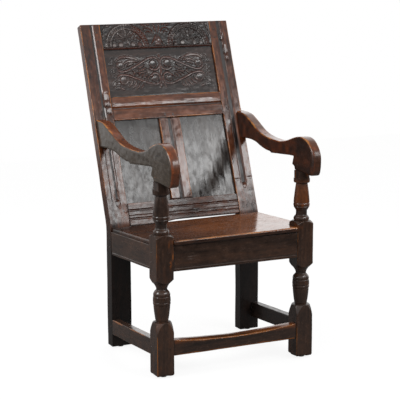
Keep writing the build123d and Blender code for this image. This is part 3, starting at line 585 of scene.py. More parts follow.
def side_rail_and_stretcher(side):
    length = BACK_FACE_Y - POST_SIZE
    (low, high), (foot, top) = SIDE_RAIL, SIDE_STRETCHER
    bead = shifted(low, (7, 0), (8, 1.8), (9.5, 1.8), (10.5, 0))
    bar_piece(SIDES[side] + "_seat_rail", down_side(side, POST[1].x - 2.5), length, (low, 0.0),
              (high, SEAT_RAIL_DEPTH), 1.5, [bead], front_count=50, seed=15 + side, wear_gain=0.6)
    # The stretchers are painted darker all over as shade, the right one more.
    bar_piece(SIDES[side] + "_stretcher", down_side(side, POST[1].x - 1.7), length, (foot, 0.0),
              (top, STRETCHER_DEPTH), 2.4, front_count=20, seed=18 + side, wear_gain=1.1,
              painted_shade=0.1 if side < 0 else 0.5)


def back_seat_rail():
    low, high = node_box("back_seat_rail")

    def across(along, u, v):
        return np.stack([along - STILE_INNER, low.y + v, u], axis=-1)

    bar_piece("back_seat_rail", across, 2 * STILE_INNER, (low.z, 0.0), (high.z - 1.5, BACK_SEAT_RAIL_DEPTH),
              1.5, front_count=20, seed=22, wear_gain=0.4)


def front_stretcher():
    """Stretcher worn hollow by feet."""
    low = node_box("front_stretcher")[0]
    width, top = 2 * POST_INNER, 118.5

    def trodden(along, u, v):
        x = (along - width / 2) / (width / 2)
        dip = 9.0 * unit(1 - x**2) ** 1.3 + 1.2 * noise_at(60.0, 5, along, v * 2)
        front = ease(15.0, 0.0, v) * ease(100.0, 118.0, u)
        return u - ease(85.0, top, u) * dip - 5.0 * front * unit(1 - x**4), v

    bar_piece("front_stretcher", across_front(low.y), width, (low.z, 0.0), (top, STRETCHER_DEPTH), 2.6,
              front_count=36, side_count=16, seed=24, shape=trodden, wear_gain=1.5,
              warm=lambda u: 0.9 * ease(100.0, 114.0, u))


# ---------- front posts
# Turned outline of a post from the floor up: height, radius, and how far the stretch up to the next
# point swells out of a straight line. A radius past the post's corners leaves it square.
SQUARE = 42.5
turning = [
    (4.0, SQUARE, 0), (131.0, SQUARE, 1.0), (176.0, 28.6, 0), (177.5, 19.6, 0.9), (229.0, 26.0, 0),
    (230.2, 24.6, 0), (231.6, 26.6, 0.2), (238.6, 27.4, 0), (240.0, 25.8, 0), (241.6, 27.4, 0.3),
    (257.0, 26.6, 0), (258.4, 24.8, 0), (259.8, 26.0, 3.4), (279.0, 16.8, 0), (282.0, 16.8, -1.6),
    (301.0, 27.0, 0.4), (302.0, 28.6, 0), (316.0, SQUARE, 0), (440.8, SQUARE, 1.6), (452.8, 29.0, 0),
    (453.6, 23.0, 3.2), (469.0, 20.6, -0.6), (473.0, 17.8, 0), (485.0, 17.6, -0.4), (498.0, 25.4, 0.4),
    (500.2, 24.4, 0), (501.8, 26.0, 0.2), (509.0, 26.0, 0), (510.6, 24.4, 0), (512.6, 25.8, 0.6),
    (572.8, 18.8, 0), (575.6, 18.6, 0), (577.0, 24.4, 0.6), (582.0, 26.0, 0), (ARM_UNDERSIDE, 26.0, 0),
]


def turned_radius(height):
    """Radius of the turning at each height."""
    z, r, swell = np.array(turning).T
    i = np.clip(np.searchsorted(z, height, side="right") - 1, 0, len(z) - 2)
    t = (height - z[i]) / (z[i + 1] - z[i])
    return r[i] + (r[i + 1] - r[i]) * t + swell[i] * 4 * t * (1 - t)


def front_post(side):
    """Post with turned parts between square blocks, ragged at the foot and cut flat under the arm."""
    heights = np.unique(np.r_[4.0:131.0:5.0, 131.0:178.0:1.2, 178.0:316.0:1.0, 316.0:440.0:5.0,
                              440.0:ARM_UNDERSIDE:1.0, ARM_UNDERSIDE])
    corner = np.linspace(-1, 1, 23)[:-1]
    spread = np.sign(corner) * abs(corner) ** 0.62
    angles = np.concatenate([spread * pi / 4 + k * pi / 2 for k in range(4)])
    z, a = np.meshgrid(heights, angles, indexing="ij")
    round_x, round_y = np.cos(a), np.sin(a)
    wrapped = (a + pi / 4) % (pi / 2) - pi / 4
    half, seed = POST_SIZE / 2, 30 + side
    diagonal = half * 1.4142
    square = half / np.cos(wrapped)
    rounding = 1.6 + 1.3 * noise_at(40.0, seed, 40 * round_x, 40 * round_y, z)
    square_worn = square - np.clip((square - (diagonal - rounding * 0.42 - 0.9)) * 0.7, 0, None)
    radius = turned_radius(z)
    both = np.minimum(radius, square_worn) - ease(8.0, 4.0, z) * 2.5
    flat = 17.0 / np.maximum(abs(round_x), 0.2)
    both = np.where(z > 591.0, np.minimum(both, flat), both)
    x, y = side * POST_AXIS + both * round_x, half + both * round_y
    ragged = noise_at(13.0, seed + 2, x, y, seed * 9.0)
    raised = z + ease(16, 4, z) * (2.6 + 2.2 * ragged)
    rings, faces = loft(np.stack([x, y, raised], axis=-1))

    on_square = radius > square_worn
    near_arris = 0.9 + 0.7 * (side < 0) * (np.cos(a - 5 * pi / 4) > 0.9) * ease(150, 120, z)
    arris = (diagonal - square) * 1.6
    wear_and_highlight = np.where(on_square, np.exp(-arris / 2.2) * near_arris, 0.45 * ease(24.5, 27.5, both))
    slope = abs(np.gradient(turned_radius(heights), heights))[:, None]
    hollow = np.maximum(ease(22.0, 17.0, both), ease(1.2, 3.0, slope)) * 0.5
    dirt_and_shade = np.where(on_square, 0, hollow)
    patch = noise_at(16.0, seed + 7, 30 * round_x, 30 * round_y, z * 0.45)
    if side > 0:
        baluster = ease(497, 520, z) * ease(596, 570, z)
        warm = 0.85 * baluster + ease(0.15, 0.6, patch) * (z > 380) * 0.8
    else:
        runs = noise_at(7.0, 77, wrapped * 40, z * 0.35)
        drips = ease(-0.2, 0.5, runs) * (np.cos(a + pi / 2) > 0.72) * ease(0.25, 0.5, wrapped)
        drips = drips * ease(330, 350, z) * ease(442, 425, z)
        wear_and_highlight = np.maximum(wear_and_highlight, 0.75 * drips)
        warm = np.maximum(drips, 0.25 * ease(0.2, 0.8, patch))
    node = SIDES[side] + "_front_post"
    grain = np.stack([z, x, y], -1).reshape(-1, 3) + seed * 91.0
    obj = make_piece(node + "_worn", rings, faces, node, "frame_oak", "frame", grain, wear_and_highlight, dirt_and_shade,
                     unit(warm))
    roughen(obj, rings, seed, 0.35)


# ---------- pieces cut from an outline
def modify(obj, kind, **settings):
    modifier = obj.modifiers.new(kind.lower(), kind)
    for key, value in settings.items():
        setattr(modifier, key, value)


def apply_modifiers(obj):
    bpy.context.view_layer.update()
    graph = bpy.context.evaluated_depsgraph_get()
    mesh = bpy.data.meshes.new_from_object(obj.evaluated_get(graph))
    obj.modifiers.clear()
    obj.data = mesh


def sawn(node, outline, thickness, place, material, round_edges, voxel, seed, tone, wear_reach=0.9, soften=3):
    """Board sawn to an outline, with its arrises rounded, worn and a little uneven."""
    bm = bmesh.new()
    face = bm.faces.new([bm.verts.new((x, y, 0)) for x, y in outline])
    made = bmesh.ops.extrude_face_region(bm, geom=[face])
    top = [item for item in made["geom"] if isinstance(item, bmesh.types.BMVert)]
    bmesh.ops.translate(bm, vec=(0, 0, thickness), verts=top)
    bmesh.ops.recalc_face_normals(bm, faces=bm.faces)
    for vertex in bm.verts:
        vertex.co *= MM
    mesh = bpy.data.meshes.new(node)
    bm.to_mesh(mesh)
    bm.free()
    obj = add_object(node + "_worn", mesh)
    modify(obj, "BEVEL", width=round_edges * MM, segments=4, limit_method="ANGLE", angle_limit=radians(50),
           use_clamp_overlap=False)
    modify(obj, "REMESH", mode="VOXEL", voxel_size=voxel * MM)
    apply_modifiers(obj)
    flat = read_vectors(obj.data.vertices, "co") / MM
    flat = blurred(obj, flat, soften)
    put_points(obj, flat)
    out = np.einsum("ij,ij->i", flat - blurred(obj, flat, 8), mesh_normals(obj)) / wear_reach
    edge, hollow = unit(out), unit(-out)
    points = place(flat)
    put_points(obj, points)
    finish_mesh(obj, 60)
    roughen(obj, points, seed, 0.5, 0.18)
    values = tone(flat, mesh_normals(obj), edge, hollow)
    dress(obj, node, material + "_oak", material, flat + seed * 77.0, *values)


ARM_THICKNESS = 34.0
# Knots on top of each arm: (place along, across, size).
KNOTS = {-1: ((330, 22, 6), (20, 24, 5)), 1: ((150, 8, 7), (118, 25, 6), (300, 14, 5), (52, 12, 5))}


def arm(side):
    """Arm seen from the side: rear shoulder, hollow sweep, hump over the post and a drop front."""
    hump = 9.0 if side < 0 else -3.0
    top = curve([(540, 752), (505, 752), (470, 751), (440, 747), (405, 735), (370, 721), (330, 706),
                 (280, 696), (220, 692.5), (160, 693.5), (110, 703), (72, 716 + hump * 0.4),
                 (40, 725 + hump * 0.7), (2, 730 + hump), (-30, 724 + hump), (-52, 711 + hump * 0.8),
                 (-69, 694 + hump * 0.4), (-77, 676), (-78.5, 661)], 90)
    front = [(-77.2, 658.5), (-78.6, 656.5), (-77, 640), (-73, 624), (-67, 614), (-60, 611)]
    heel = [(0, ARM_UNDERSIDE), (52, ARM_UNDERSIDE), (52, 625), (70, 630), (59, 658)]
    under = curve([(95, 656), (150, 651), (200, 646.5), (233, 643.5)], 10)
    rear = curve([(236, 648), (272, 649), (310, 655), (350, 664), (390, 668), (430, 667), (470, 664),
                  (500, 660)], 24)
    splay = radians(0.6 if side < 0 else 3.3)
    axis_y = POST_SIZE / 2

    def swing(flat):
        fore = ease(-20, -70, flat[:, 0])
        rounded = unit(1 - flat[:, 2] / 11.0) ** 2 * ease(-45, -74, flat[:, 0])
        y = flat[:, 0] - axis_y + 6.0 * rounded
        x = (flat[:, 2] - ARM_THICKNESS / 2) * (1 - 0.09 * fore)
        points = np.stack([side * POST_AXIS + x * cos(splay) + side * y * sin(splay),
                           axis_y + y * cos(splay) - side * x * sin(splay), flat[:, 1]], -1)
        depth = (points[:, 1] - BACK_FACE_Y) * cos(RAKE) - (points[:, 2] - BEND) * sin(RAKE)
        on_stile = side * points[:, 0] < STILE_OUTER + 0.8
        over = np.clip(depth - np.where(on_stile, 0.6, 26.0), 0, None)
        points[:, 1] -= over * cos(RAKE)
        points[:, 2] += over * sin(RAKE)
        return points

    def tone(flat, normals, edge, hollow):
        y, z, x = flat.T
        up = ease(0.3, 0.8, normals[:, 2])
        facing = ease(0.5, 0.9, -normals[:, 1]) * ease(-50, -66, y)
        near_arris = ease(-0.9, -0.6, normals[:, 0]) * ease(11, 6, x) * ease(-20, -62, y)
        wear_and_highlight = edge * (0.1 + 1.25 * ease(0.1, 0.45, normals[:, 2])) + 0.1 * near_arris
        warm = up * (0.95 if side < 0 else 0.75) + 0.8 * near_arris + 0.65 * facing
        if side < 0:
            crack = np.where((y > 2) & (y < 30), abs(z - 699 + 0.12 * (y - 16)), 99)
            crack = np.minimum(crack, np.where((z > 678) & (z < 700), abs(y - 27 + 0.2 * (z - 690)), 99))
            crack = np.minimum(crack, np.hypot(y - 249, (z - 652) * 0.6))
            hollow = np.maximum(hollow, np.exp(-((crack / 1.8) ** 2)) * (x < 6) * 1.5)
        knot = sum(np.exp(-((y - at) / size) ** 2 - ((x - over) / (0.7 * size)) ** 2)
                   for at, over, size in KNOTS[side])
        blot = ease(0.1, 0.7, noise_at(42.0, 12, y, z, x))
        dark = np.maximum(hollow * 0.6, unit((0.9 * knot + 0.35 * blot) * up))
        dark = np.maximum(dark, facing * (0.12 + 0.3 * ease(662, 655, z)))
        # The right arm's inner face is darker.
        if side > 0:
            inner = ease(-0.5, -0.85, normals[:, 0])
            darkening = 0.68 + 0.16 * noise_at(26.0, 13, y, z, x)
            dark = np.maximum(dark, darkening * inner * (1 - 0.7 * wear_and_highlight) + 0.5 * facing)
            warm = warm + inner
        return np.clip(wear_and_highlight, 0, 1.3), dark, unit(warm)

    outline = np.vstack([top, front, heel, under, rear])[::-1]
    sawn(SIDES[side] + "_arm", outline, ARM_THICKNESS, swing, "arm", 4.0, 1.9, 50 + side, tone, soften=4)


def seat_board():
    """Plank seat, notched round the posts and the stiles, sagging a little and warped."""
    low, high = node_box("seat_board")
    left, right = -270.5, 273.5
    gap = 0.5
    inner, stile = POST_INNER - gap, STILE_INNER - gap
    behind_post, before_stile = POST_SIZE + gap, BACK_FACE_Y - gap
    outline = [(-inner, low.y), (inner, low.y), (inner, behind_post), (right, behind_post),
               (right, before_stile), (stile, before_stile), (stile, high.y), (-stile, high.y),
               (-stile, before_stile), (left, before_stile), (left, behind_post), (-inner, behind_post)]

    def warp(flat):
        x, y, z = flat.T
        rear = ease(0, 380, y)
        twist = (x / 272.0) * (3.84 * rear + 2.0 * (1 - rear))
        dish = -1.6 * np.exp(-((x / 150.0) ** 2)) * np.exp(-(((y - 190) / 120.0) ** 2))
        crack = -0.8 * np.exp(-((y - 236 - 4 * np.sin(x / 60.0)) / 1.6) ** 2) * (z > 8)
        wave = 0.6 * noise_at(70.0, 8, x, y * 0.2) * ease(40, -6, y)
        lift = np.where(z > 4, dish + crack, 0) + wave
        return np.stack([x, y, 420.0 + z - SEAT_FALL * y + twist + lift], -1)

    def tone(flat, normals, edge, hollow):
        x, y, z = flat.T
        top = ease(0.2, 0.6, normals[:, 2])
        front = ease(60, 0, y) * (y < 8) * ease(-225, -190, x) * top
        ragged = 1.35 + 0.35 * noise_at(24.0, 61, x, y, z)
        cloud = noise_at(90.0, 62, x * 0.5, y)
        warm = 0.9 * ease(-190, 60, x + 60 * cloud) + 0.3 * ease(90, 0, y)
        # The seat is darker towards the left and the back.
        darkening = 0.45 * ease(-60, -230, x + 50 * cloud) + 0.25 * ease(250, 330, y)
        # Every face but the top is painted darker as shade.
        dark = np.maximum(hollow * 0.7, np.maximum((1 - top) * 0.55, darkening))
        wear_and_highlight = edge * front * ragged * (1 - 0.25 * ease(120, 250, x))
        return wear_and_highlight, unit(dark), unit(warm) * top

    sawn("seat_board", outline, 16.0, warp, "seat", 4.5, 2.6, 60, tone, wear_reach=1.2)


# ---------- panels
def grid_board(name, node, x, up, surface, thickness, step, slot, material, along_x, seed):
    """Board whose front follows surface(x, up), in millimetres out of the back's face, on a fine grid."""
    nx, nu = (int((high - low) / step) + 1 for low, high in (x, up))
    gx, gu = np.meshgrid(np.linspace(*x, nx), np.linspace(*up, nu), indexing="ij")
    height, *values = surface(gx, gu)
    index = np.arange(nx * nu).reshape(nx, nu)
    rim = np.concatenate([index[0], index[1:, -1], index[-1, -2::-1], index[-2:0:-1, 0]])
    behind = back_points(gx.ravel()[rim], gu.ravel()[rim], -thickness)
    points = np.vstack([back_points(gx, gu, height).reshape(-1, 3), behind])
    quads = np.stack([index[:-1, :-1], index[1:, :-1], index[1:, 1:], index[:-1, 1:]], -1).reshape(-1, 4)
    back_rim = nx * nu + np.arange(len(rim))
    sides = np.stack([rim, np.roll(rim, -1), np.roll(back_rim, -1), back_rim], -1)
    grain = np.stack([gx, gu, height] if along_x else [gu, gx, height], -1).reshape(-1, 3)
    grain = np.vstack([grain, grain[rim]]) + seed * 83.0
    faces = quads.tolist() + sides.tolist() + [back_rim[::-1].tolist()]
    values = [np.r_[value.ravel(), np.zeros(len(rim))] for value in values]
    make_piece(name, points, faces, node, slot, material, grain, *values)


def riven(x, up, seed, amount=0.55):
    """Gentle ripple that a split board keeps, long along its upright grain."""
    bent = x + 5 * noise_at(60.0, seed + 5, x, up * 0.14)
    crease = (1 - abs(noise_at(21.0, seed + 1, bent, up * 0.1))) ** 3
    fine = noise_at(5.0, seed + 2, bent, up * 0.1)
    return amount * (0.8 * noise_at(42.0, seed, x, up * 0.14) + 0.35 * crease + 0.16 * fine)


def lower_panel(side):
    tongue = 9.0
    if side < 0:
        left, right, darkening = -STILE_INNER - tongue, MUNTIN[0] + tongue, 0.24
    else:
        left, right, darkening = MUNTIN[1] - tongue, STILE_INNER + tongue, 0.0

    def surface(gx, gu):
        # Painted shade: the panel is darker along the frame, where grime lies too, towards its top under the
        # middle rail, and all over on the left panel.
        rebate = 0.6 * ease(16, 9, np.minimum(gx - left, right - gx))
        dark = np.maximum(rebate, ease(300, 352, gu) * 0.35 + darkening)
        return riven(gx, gu, 70 + side) - PANEL_SETBACK - 1.0, np.full_like(gx, 0.12), dark, gx * 0

    node = SIDES[side] + "_back_panel"
    up = (LOWER_RAIL[1] - tongue, MIDDLE_RAIL[0] + tongue)
    grid_board(node + "_worn", node, (left, right), up, surface, PANEL_DEPTH, 2.2, "panel_oak", "panel",
               False, 70 + side)


# ---------- carving
def inside_band(x, u, points, half_width, taper):
    """How far each place is inside a curved band: negative outside it. Its ends narrow by taper."""
    path = curve(points, 4 * len(points))
    best = np.full(x.shape, 1e9)
    for k, ((ax, au), (bx, bu)) in enumerate(zip(path, path[1:])):
        dx, du = bx - ax, bu - au
        t = unit(((x - ax) * dx + (u - au) * du) / (dx * dx + du * du))
        width = half_width * (taper + (1 - taper) * np.sin(pi * (k + t) / (len(path) - 1)))
        best = np.minimum(best, np.hypot(x - ax - t * dx, u - au - t * du) - width)
    return -best


class Relief:
    """Height field of a carving, from 0 on its sunk ground to 1, built up stroke by stroke."""

    def __init__(self, x, u, spread=0.55, roundness=2.0):
        self.x, self.u = x, u
        self.spread, self.roundness = spread, roundness
        self.level, self.cuts, self.bare = np.zeros_like(x), np.zeros_like(x), np.zeros_like(x)
        self.near = np.full(x.shape, -1e9)

    def raise_to(self, inside, round_over, top=1.0):
        t = unit(inside / round_over)
        self.level = np.maximum(self.level, top * (1 - (1 - t) ** self.roundness))
        self.near = np.maximum(self.near, inside)

    def band(self, points, half_width, top=1.0, vein=True, taper=1.0):
        inside = inside_band(self.x, self.u, points, half_width, taper)
        self.raise_to(inside, self.spread * half_width, top)
        if vein:
            off_vein = 1.2 * abs(inside - 0.62 * half_width)
            self.cuts = np.maximum(self.cuts, ease(1.0, 0.2, off_vein) * 0.5)

    def leaf(self, x, u, tilt, half_length, half_width, top=0.9):
        """Pointed leaf about its middle, with a vein."""
        c, s = cos(radians(tilt)), sin(radians(tilt))
        away = ((self.x - x) * c + (self.u - u) * s) / half_length
        off_vein = abs((self.u - u) * c - (self.x - x) * s)
        inside = half_width * (1 - away**2) - off_vein
        self.raise_to(inside, 0.8 * half_width, top)
        self.cuts = np.maximum(self.cuts, ease(1.0, 0.1, off_vein) * ease(0.3, 1.5, inside) * 0.8)

    def dish(self, x, u, radius, deep):
        away = np.hypot(self.x - x, self.u - u)
        self.raise_to(radius + 2.4 - away, 1.6)
        hollow = unit(1 - (away / radius) ** 2)
        self.level = np.where(away < radius, 1 - deep * hollow, self.level)
        self.bare = np.maximum(self.bare, ease(radius + 1, radius - 1.5, away))

    def dome(self, x, u, radius):
        away = np.hypot(self.x - x, self.u - u)
        self.level = np.maximum(self.level, np.sqrt(unit(1 - (away / radius) ** 2)))
        self.near = np.maximum(self.near, radius - away)


PANEL_AXIS = -1.0
# Half of the upper panel's carving, left of its axis; the right half mirrors it.
SCROLLS = (
    [(-166, 500), (-163, 512), (-150, 519), (-123, 516), (-96, 505), (-70, 494), (-45, 485), (-22, 482),
     (-9, 490), (-6, 505), (-14, 518), (-28, 520), (-40, 512)],
    [(-158, 560), (-163, 548), (-158, 536), (-146, 530), (-128, 532), (-108, 540), (-84, 551), (-62, 563),
     (-40, 573), (-20, 575), (-6, 567), (-3, 552), (-10, 537), (-25, 532), (-40, 538)],
)
ROUNDELS = ((-146, 550, 9.5), (-28, 553, 10.5), (-144, 499, 11.5), (-27, 501, 9.5))
FRONDS = (
    ([(-163, 566), (-146, 579), (-118, 580), (-92, 573), (-74, 564)], 4.2),
    ([(-134, 556), (-118, 565), (-98, 565), (-84, 560)], 3.4), ([(-124, 548), (-112, 555), (-100, 556)], 2.6),
    ([(-108, 533), (-100, 529), (-99, 522), (-107, 517), (-118, 521)], 2.6),
    ([(-88, 540), (-74, 543), (-60, 551)], 3.2), ([(-86, 532), (-70, 533), (-54, 540)], 3.2),
    ([(-92, 524), (-74, 524), (-56, 528)], 3.0), ([(-86, 514), (-80, 521), (-70, 525)], 2.3),
    ([(-75, 508), (-70, 516), (-60, 520)], 2.3), ([(-64, 503), (-60, 511), (-50, 517)], 2.3),
    ([(-53, 499), (-50, 506), (-42, 511)], 2.2), ([(-122, 504), (-128, 495), (-138, 488)], 2.4),
    ([(-110, 500), (-116, 488), (-127, 478)], 2.5), ([(-97, 495), (-103, 482), (-115, 471)], 2.5),
    ([(-84, 490), (-90, 477), (-102, 467)], 2.4), ([(-72, 485), (-77, 475), (-87, 468)], 2.2),
)
SPRIGS = ((-176, 571, 62, 11, 5), (-182, 558, 20, 8, 3.5), (-176, 534, 75, 10, 4.5), (-184, 522, 110, 11, 4),
          (-172, 515, 60, 8, 3.5), (-178, 489, 55, 12, 4.5), (-168, 474, 20, 11, 4.5),
          (-152, 470, -15, 9, 3.5), (-1, 579, 90, 9, 5), (-1, 529, 90, 22, 5.5), (-8, 478, 62, 13, 4),
          (6, 478, 118, 13, 4), (-1, 493, 90, 9, 3))


def panel_carving(gx, gu):
    """Mirrored S scrolls round dished eyes, with fronds between, hollowed sprigs and a shallow ground."""
    mirrored = np.where(gx < PANEL_AXIS, gx, 2 * PANEL_AXIS - gx)
    relief = Relief(mirrored + 1.2 * noise_at(30.0, 44, gx, gu), gu)
    for points, half_width in FRONDS:
        relief.band(points, half_width, 0.95, vein=half_width > 3, taper=0.45)
    for points in SCROLLS:
        relief.band(points, 3.6, 0.55)
    for sprig in SPRIGS:
        relief.leaf(*sprig, top=0.8)
    for roundel in ROUNDELS:
        relief.dish(*roundel, 0.62)
    level, wood = relief.level, 1 - relief.bare
    off_axis = abs(gx - PANEL_AXIS)
    margin = np.minimum(176 - off_axis, np.minimum(gu - 468, 586 - gu))
    deep = 2.0 * ease(0, 44, margin)
    groove = unit((relief.near + 2.6) / 1.3) * unit((0.4 - relief.near) / 0.8)
    tooled = 0.2 * noise_at(2.6, 91, gx, gu) + 0.3 * noise_at(6.0, 92, gx, gu * 0.5)
    height = -deep * (1 - level) - 0.9 * groove - 0.8 * relief.cuts * level + 0.2 * level
    height += tooled * ease(0, 12, margin) * (1 - level)
    # Raised strokes away from the axis get a pale painted highlight through the worn colour.
    painted_highlight = ease(0.55, 0.9, level) * ease(50, 120, off_axis)
    wear_and_highlight = 0.1 + (0.2 * level + 0.6 * painted_highlight) * wood
    dirt_and_shade = unit(0.15 * deep * (1 - level) ** 2 + 0.5 * groove + 0.5 * relief.cuts * level) * wood
    warm = ease(-5, 6, relief.near) * wood * ease(168, 150, off_axis) * 0.85
    return height, wear_and_highlight, dirt_and_shade, warm


def upper_panel():
    tongue = 7.0

    def surface(gx, gu):
        height, wear_and_highlight, dirt_and_shade, warm = panel_carving(gx, gu)
        near = np.minimum(STILE_INNER - abs(gx), np.minimum(gu - MIDDLE_RAIL[1], CREST_RAIL[0] - gu))
        height = height + riven(gu, gx, 80, 0.5) - PANEL_SETBACK - 0.4
        # Painted shade, with grime, darkens the carving along the frame.
        return height, wear_and_highlight, np.maximum(dirt_and_shade, ease(7, 0, near) * 0.7), warm

    grid_board("upper_back_panel_carved", "upper_back_panel", (-STILE_INNER - tongue, STILE_INNER + tongue),
               (MIDDLE_RAIL[1] - tongue, CREST_RAIL[0] + tongue), surface, PANEL_DEPTH, 0.92, "panel_oak",
               "carved", True, 80)


LUNETTES = (-113.0, 116.0)
LUNETTE_BASE = CREST_RAIL[0] + 9.0
RING_OUTER, RING_INNER = 80.0, 58.0
# Curled fingers of the left and the right palmette, and what stands between the lunettes.
PALMETTES = (
    ([(-114, 617), (-109, 630), (-114, 645)], 3.0),
    ([(-116, 652), (-115, 668), (-119, 682), (-128, 673)], 3.0),
    ([(-114, 643), (-99, 650), (-84, 661), (-76, 671), (-84, 675)], 3.0),
    ([(-115, 652), (-103, 661), (-95, 669), (-97, 680), (-107, 674)], 3.0),
    ([(-117, 643), (-131, 650), (-142, 660), (-140, 671), (-132, 666)], 3.0),
    ([(-116, 636), (-135, 643), (-154, 645), (-163, 636)], 2.6),
    ([(-112, 634), (-92, 642), (-72, 644), (-62, 634)], 2.6),
    ([(114, 617), (118, 640), (117, 668)], 3.0),
    ([(117, 640), (103, 650), (91, 662), (86, 674), (94, 676)], 2.8),
    ([(117, 652), (109, 664), (105, 677), (112, 680)], 2.6),
    ([(117, 652), (125, 664), (130, 677), (123, 680)], 2.6),
    ([(117, 640), (131, 650), (143, 661), (149, 673), (141, 676)], 2.8),
    ([(116, 630), (98, 638), (80, 640), (67, 632)], 2.6),
    ([(116, 630), (136, 638), (154, 640), (166, 632)], 2.6),
)
LOBES = ((-161, 620, 9), (-137, 621, 11), (-92, 622, 11), (-67, 620, 9), (68, 620, 9), (94, 622, 11),
         (138, 622, 11), (163, 620, 9))
BETWEEN = (
    ([(-2, 654), (-13, 636), (-27, 617)], 3.6), ([(3, 654), (12, 636), (24, 617)], 3.6),
    ([(-8, 694), (-5, 680), (-1, 664)], 3.2), ([(12, 693), (11, 678), (6, 662)], 3.2),
    ([(-49, 669), (-41, 677), (-29, 678), (-17, 671), (-12, 657)], 2.6),
    ([(49, 669), (42, 677), (31, 678), (20, 671), (15, 657)], 2.6),
    ([(-40, 662), (-29, 667), (-22, 659)], 2.4), ([(42, 662), (32, 667), (26, 659)], 2.4),
)
SPANDRELS = ((-193, 676, 55, 13, 4.5), (-178, 688, 12, 12, 4), (-197, 655, 80, 11, 3.5),
             (-44, 688, -14, 14, 4.5), (46, 688, 14, 14, 4.5), (194, 676, 125, 13, 4.5),
             (180, 689, -8, 11, 4), (198, 655, 100, 11, 3.5), (-28, 690, -20, 9, 3.5), (30, 690, 20, 9, 3.5))


def crest_carving(gx, gu):
    """Two nulled lunettes holding palmettes, a strapwork point between them and leaf spandrels."""
    above = gu - LUNETTE_BASE
    relief = Relief(gx + 0.8 * noise_at(25.0, 45, gx, gu), gu, 0.9, 1.2)
    for points, half_width in BETWEEN:
        relief.band(points, half_width, vein=half_width > 3, taper=0.6)
    for leaf in SPANDRELS:
        relief.leaf(*leaf)
    point = ease(-1, 1.5, 13 - abs(gx - 1.5) * (1.0 - above / 90.0) - above * 0.25)
    relief.level = np.maximum(relief.level, 0.55 * point * (above < 30))
    for centre in LUNETTES:
        away = np.hypot(gx - centre, above)
        for radius, width in ((RING_OUTER - 1.8, 2.2), (RING_INNER + 1.6, 2.0)):
            relief.raise_to(width - abs(away - radius), width)
        turn = np.arctan2(above, gx - centre) * 50.0 + (away - 69.0) * 0.09
        between = np.minimum(away - RING_INNER - 3.4, RING_OUTER - 3.8 - away)
        nulls = 1 - 0.75 * np.sqrt(abs(np.sin(turn / 2))) * ease(0.0, 4.0, between)
        in_ring = (away < RING_OUTER - 2) & (away > RING_INNER + 2)
        relief.level = np.where(in_ring, np.where(between > -1, nulls, 0), relief.level)
    inner = Relief(relief.x, gu, 0.9, 1.2)
    for points, half_width in PALMETTES:
        inner.band(points, half_width, vein=False, taper=0.6)
    for lobe in LOBES:
        inner.dome(*lobe)
    from_centre = np.where(gx < 0, gx - LUNETTES[0], gx - LUNETTES[1])
    away = np.minimum(*(np.hypot(gx - centre, above) for centre in LUNETTES))
    held = np.maximum(inner.level, relief.level * (away > RING_INNER - 1))
    level = np.where(away < RING_INNER, held, relief.level)
    rays = 0.5 + 0.5 * np.cos(np.arctan2(above - 6, from_centre) * 34.0)
    level = np.maximum(level, 0.32 * rays * (away < RING_INNER - 3) * ease(8, 20, away))

    field = ease(-1.1, 0.7, above) * ease(0.2, 1.6, CREST_RAIL[1] - 0.8 - gu)
    field = field * ease(202, 200, abs(gx))
    sunk = field * (1 - level)
    lines = [abs(gu - CREST_RAIL[0] - line) for line in (6.4, 2.6)]
    scribed = ease(1.5, 0.3, lines[0]) + 0.8 * ease(1.0, 0.2, lines[1])
    height = -2.9 * sunk - 0.9 * relief.cuts * field * (level > 0.4) - 1.1 * scribed
    height += 0.15 * noise_at(2.4, 97, gx, gu) * sunk + 0.75 * noise_at(9.0, 99, gx, gu * 1.4) * field
    warm = 1.1 * ease(95, 40, abs(gx + 12)) + 0.6 * noise_at(34.0, 98, gx, gu)
    warm = unit(warm) * level * field
    # Raised strokes get a pale painted highlight through the worn colour, stronger towards the left.
    painted_highlight = ease(0.5, 0.9, level) * field * (1 - 0.7 * warm) * (0.8 + 0.4 * ease(40, -150, gx))
    dirt_and_shade = unit(sunk * (1 - level) * 0.5 + relief.cuts * 0.4 * field + scribed * 0.4)
    return height, 0.1 + 0.95 * painted_highlight, dirt_and_shade, warm


def crest():
    low, high = CREST_RAIL

    def surface(gx, gu):
        height, wear_and_highlight, dirt_and_shade, warm = crest_carving(gx, gu)
        round_off = 1.8 * (1 - ease(0, 2.4, np.minimum(gu - low, high - gu))) ** 1.5
        warm = np.maximum(warm, 1.4 * np.exp(-(gu - low) / 2.5) + np.exp(-(high - gu) / 1.5))
        height = height - round_off + 0.4 * noise_at(80.0, 5, gx, gu)
        joint = np.exp(-(STILE_INNER - abs(gx)) / 1.5)
        return height, wear_and_highlight * (1 - joint), np.maximum(dirt_and_shade, joint * 0.9), unit(warm)

    grid_board("crest_rail_carved", "crest_rail", (-STILE_INNER, STILE_INNER), CREST_RAIL, surface,
               RAIL_DEPTH, 0.82, "frame_oak", "carved", True, 90)


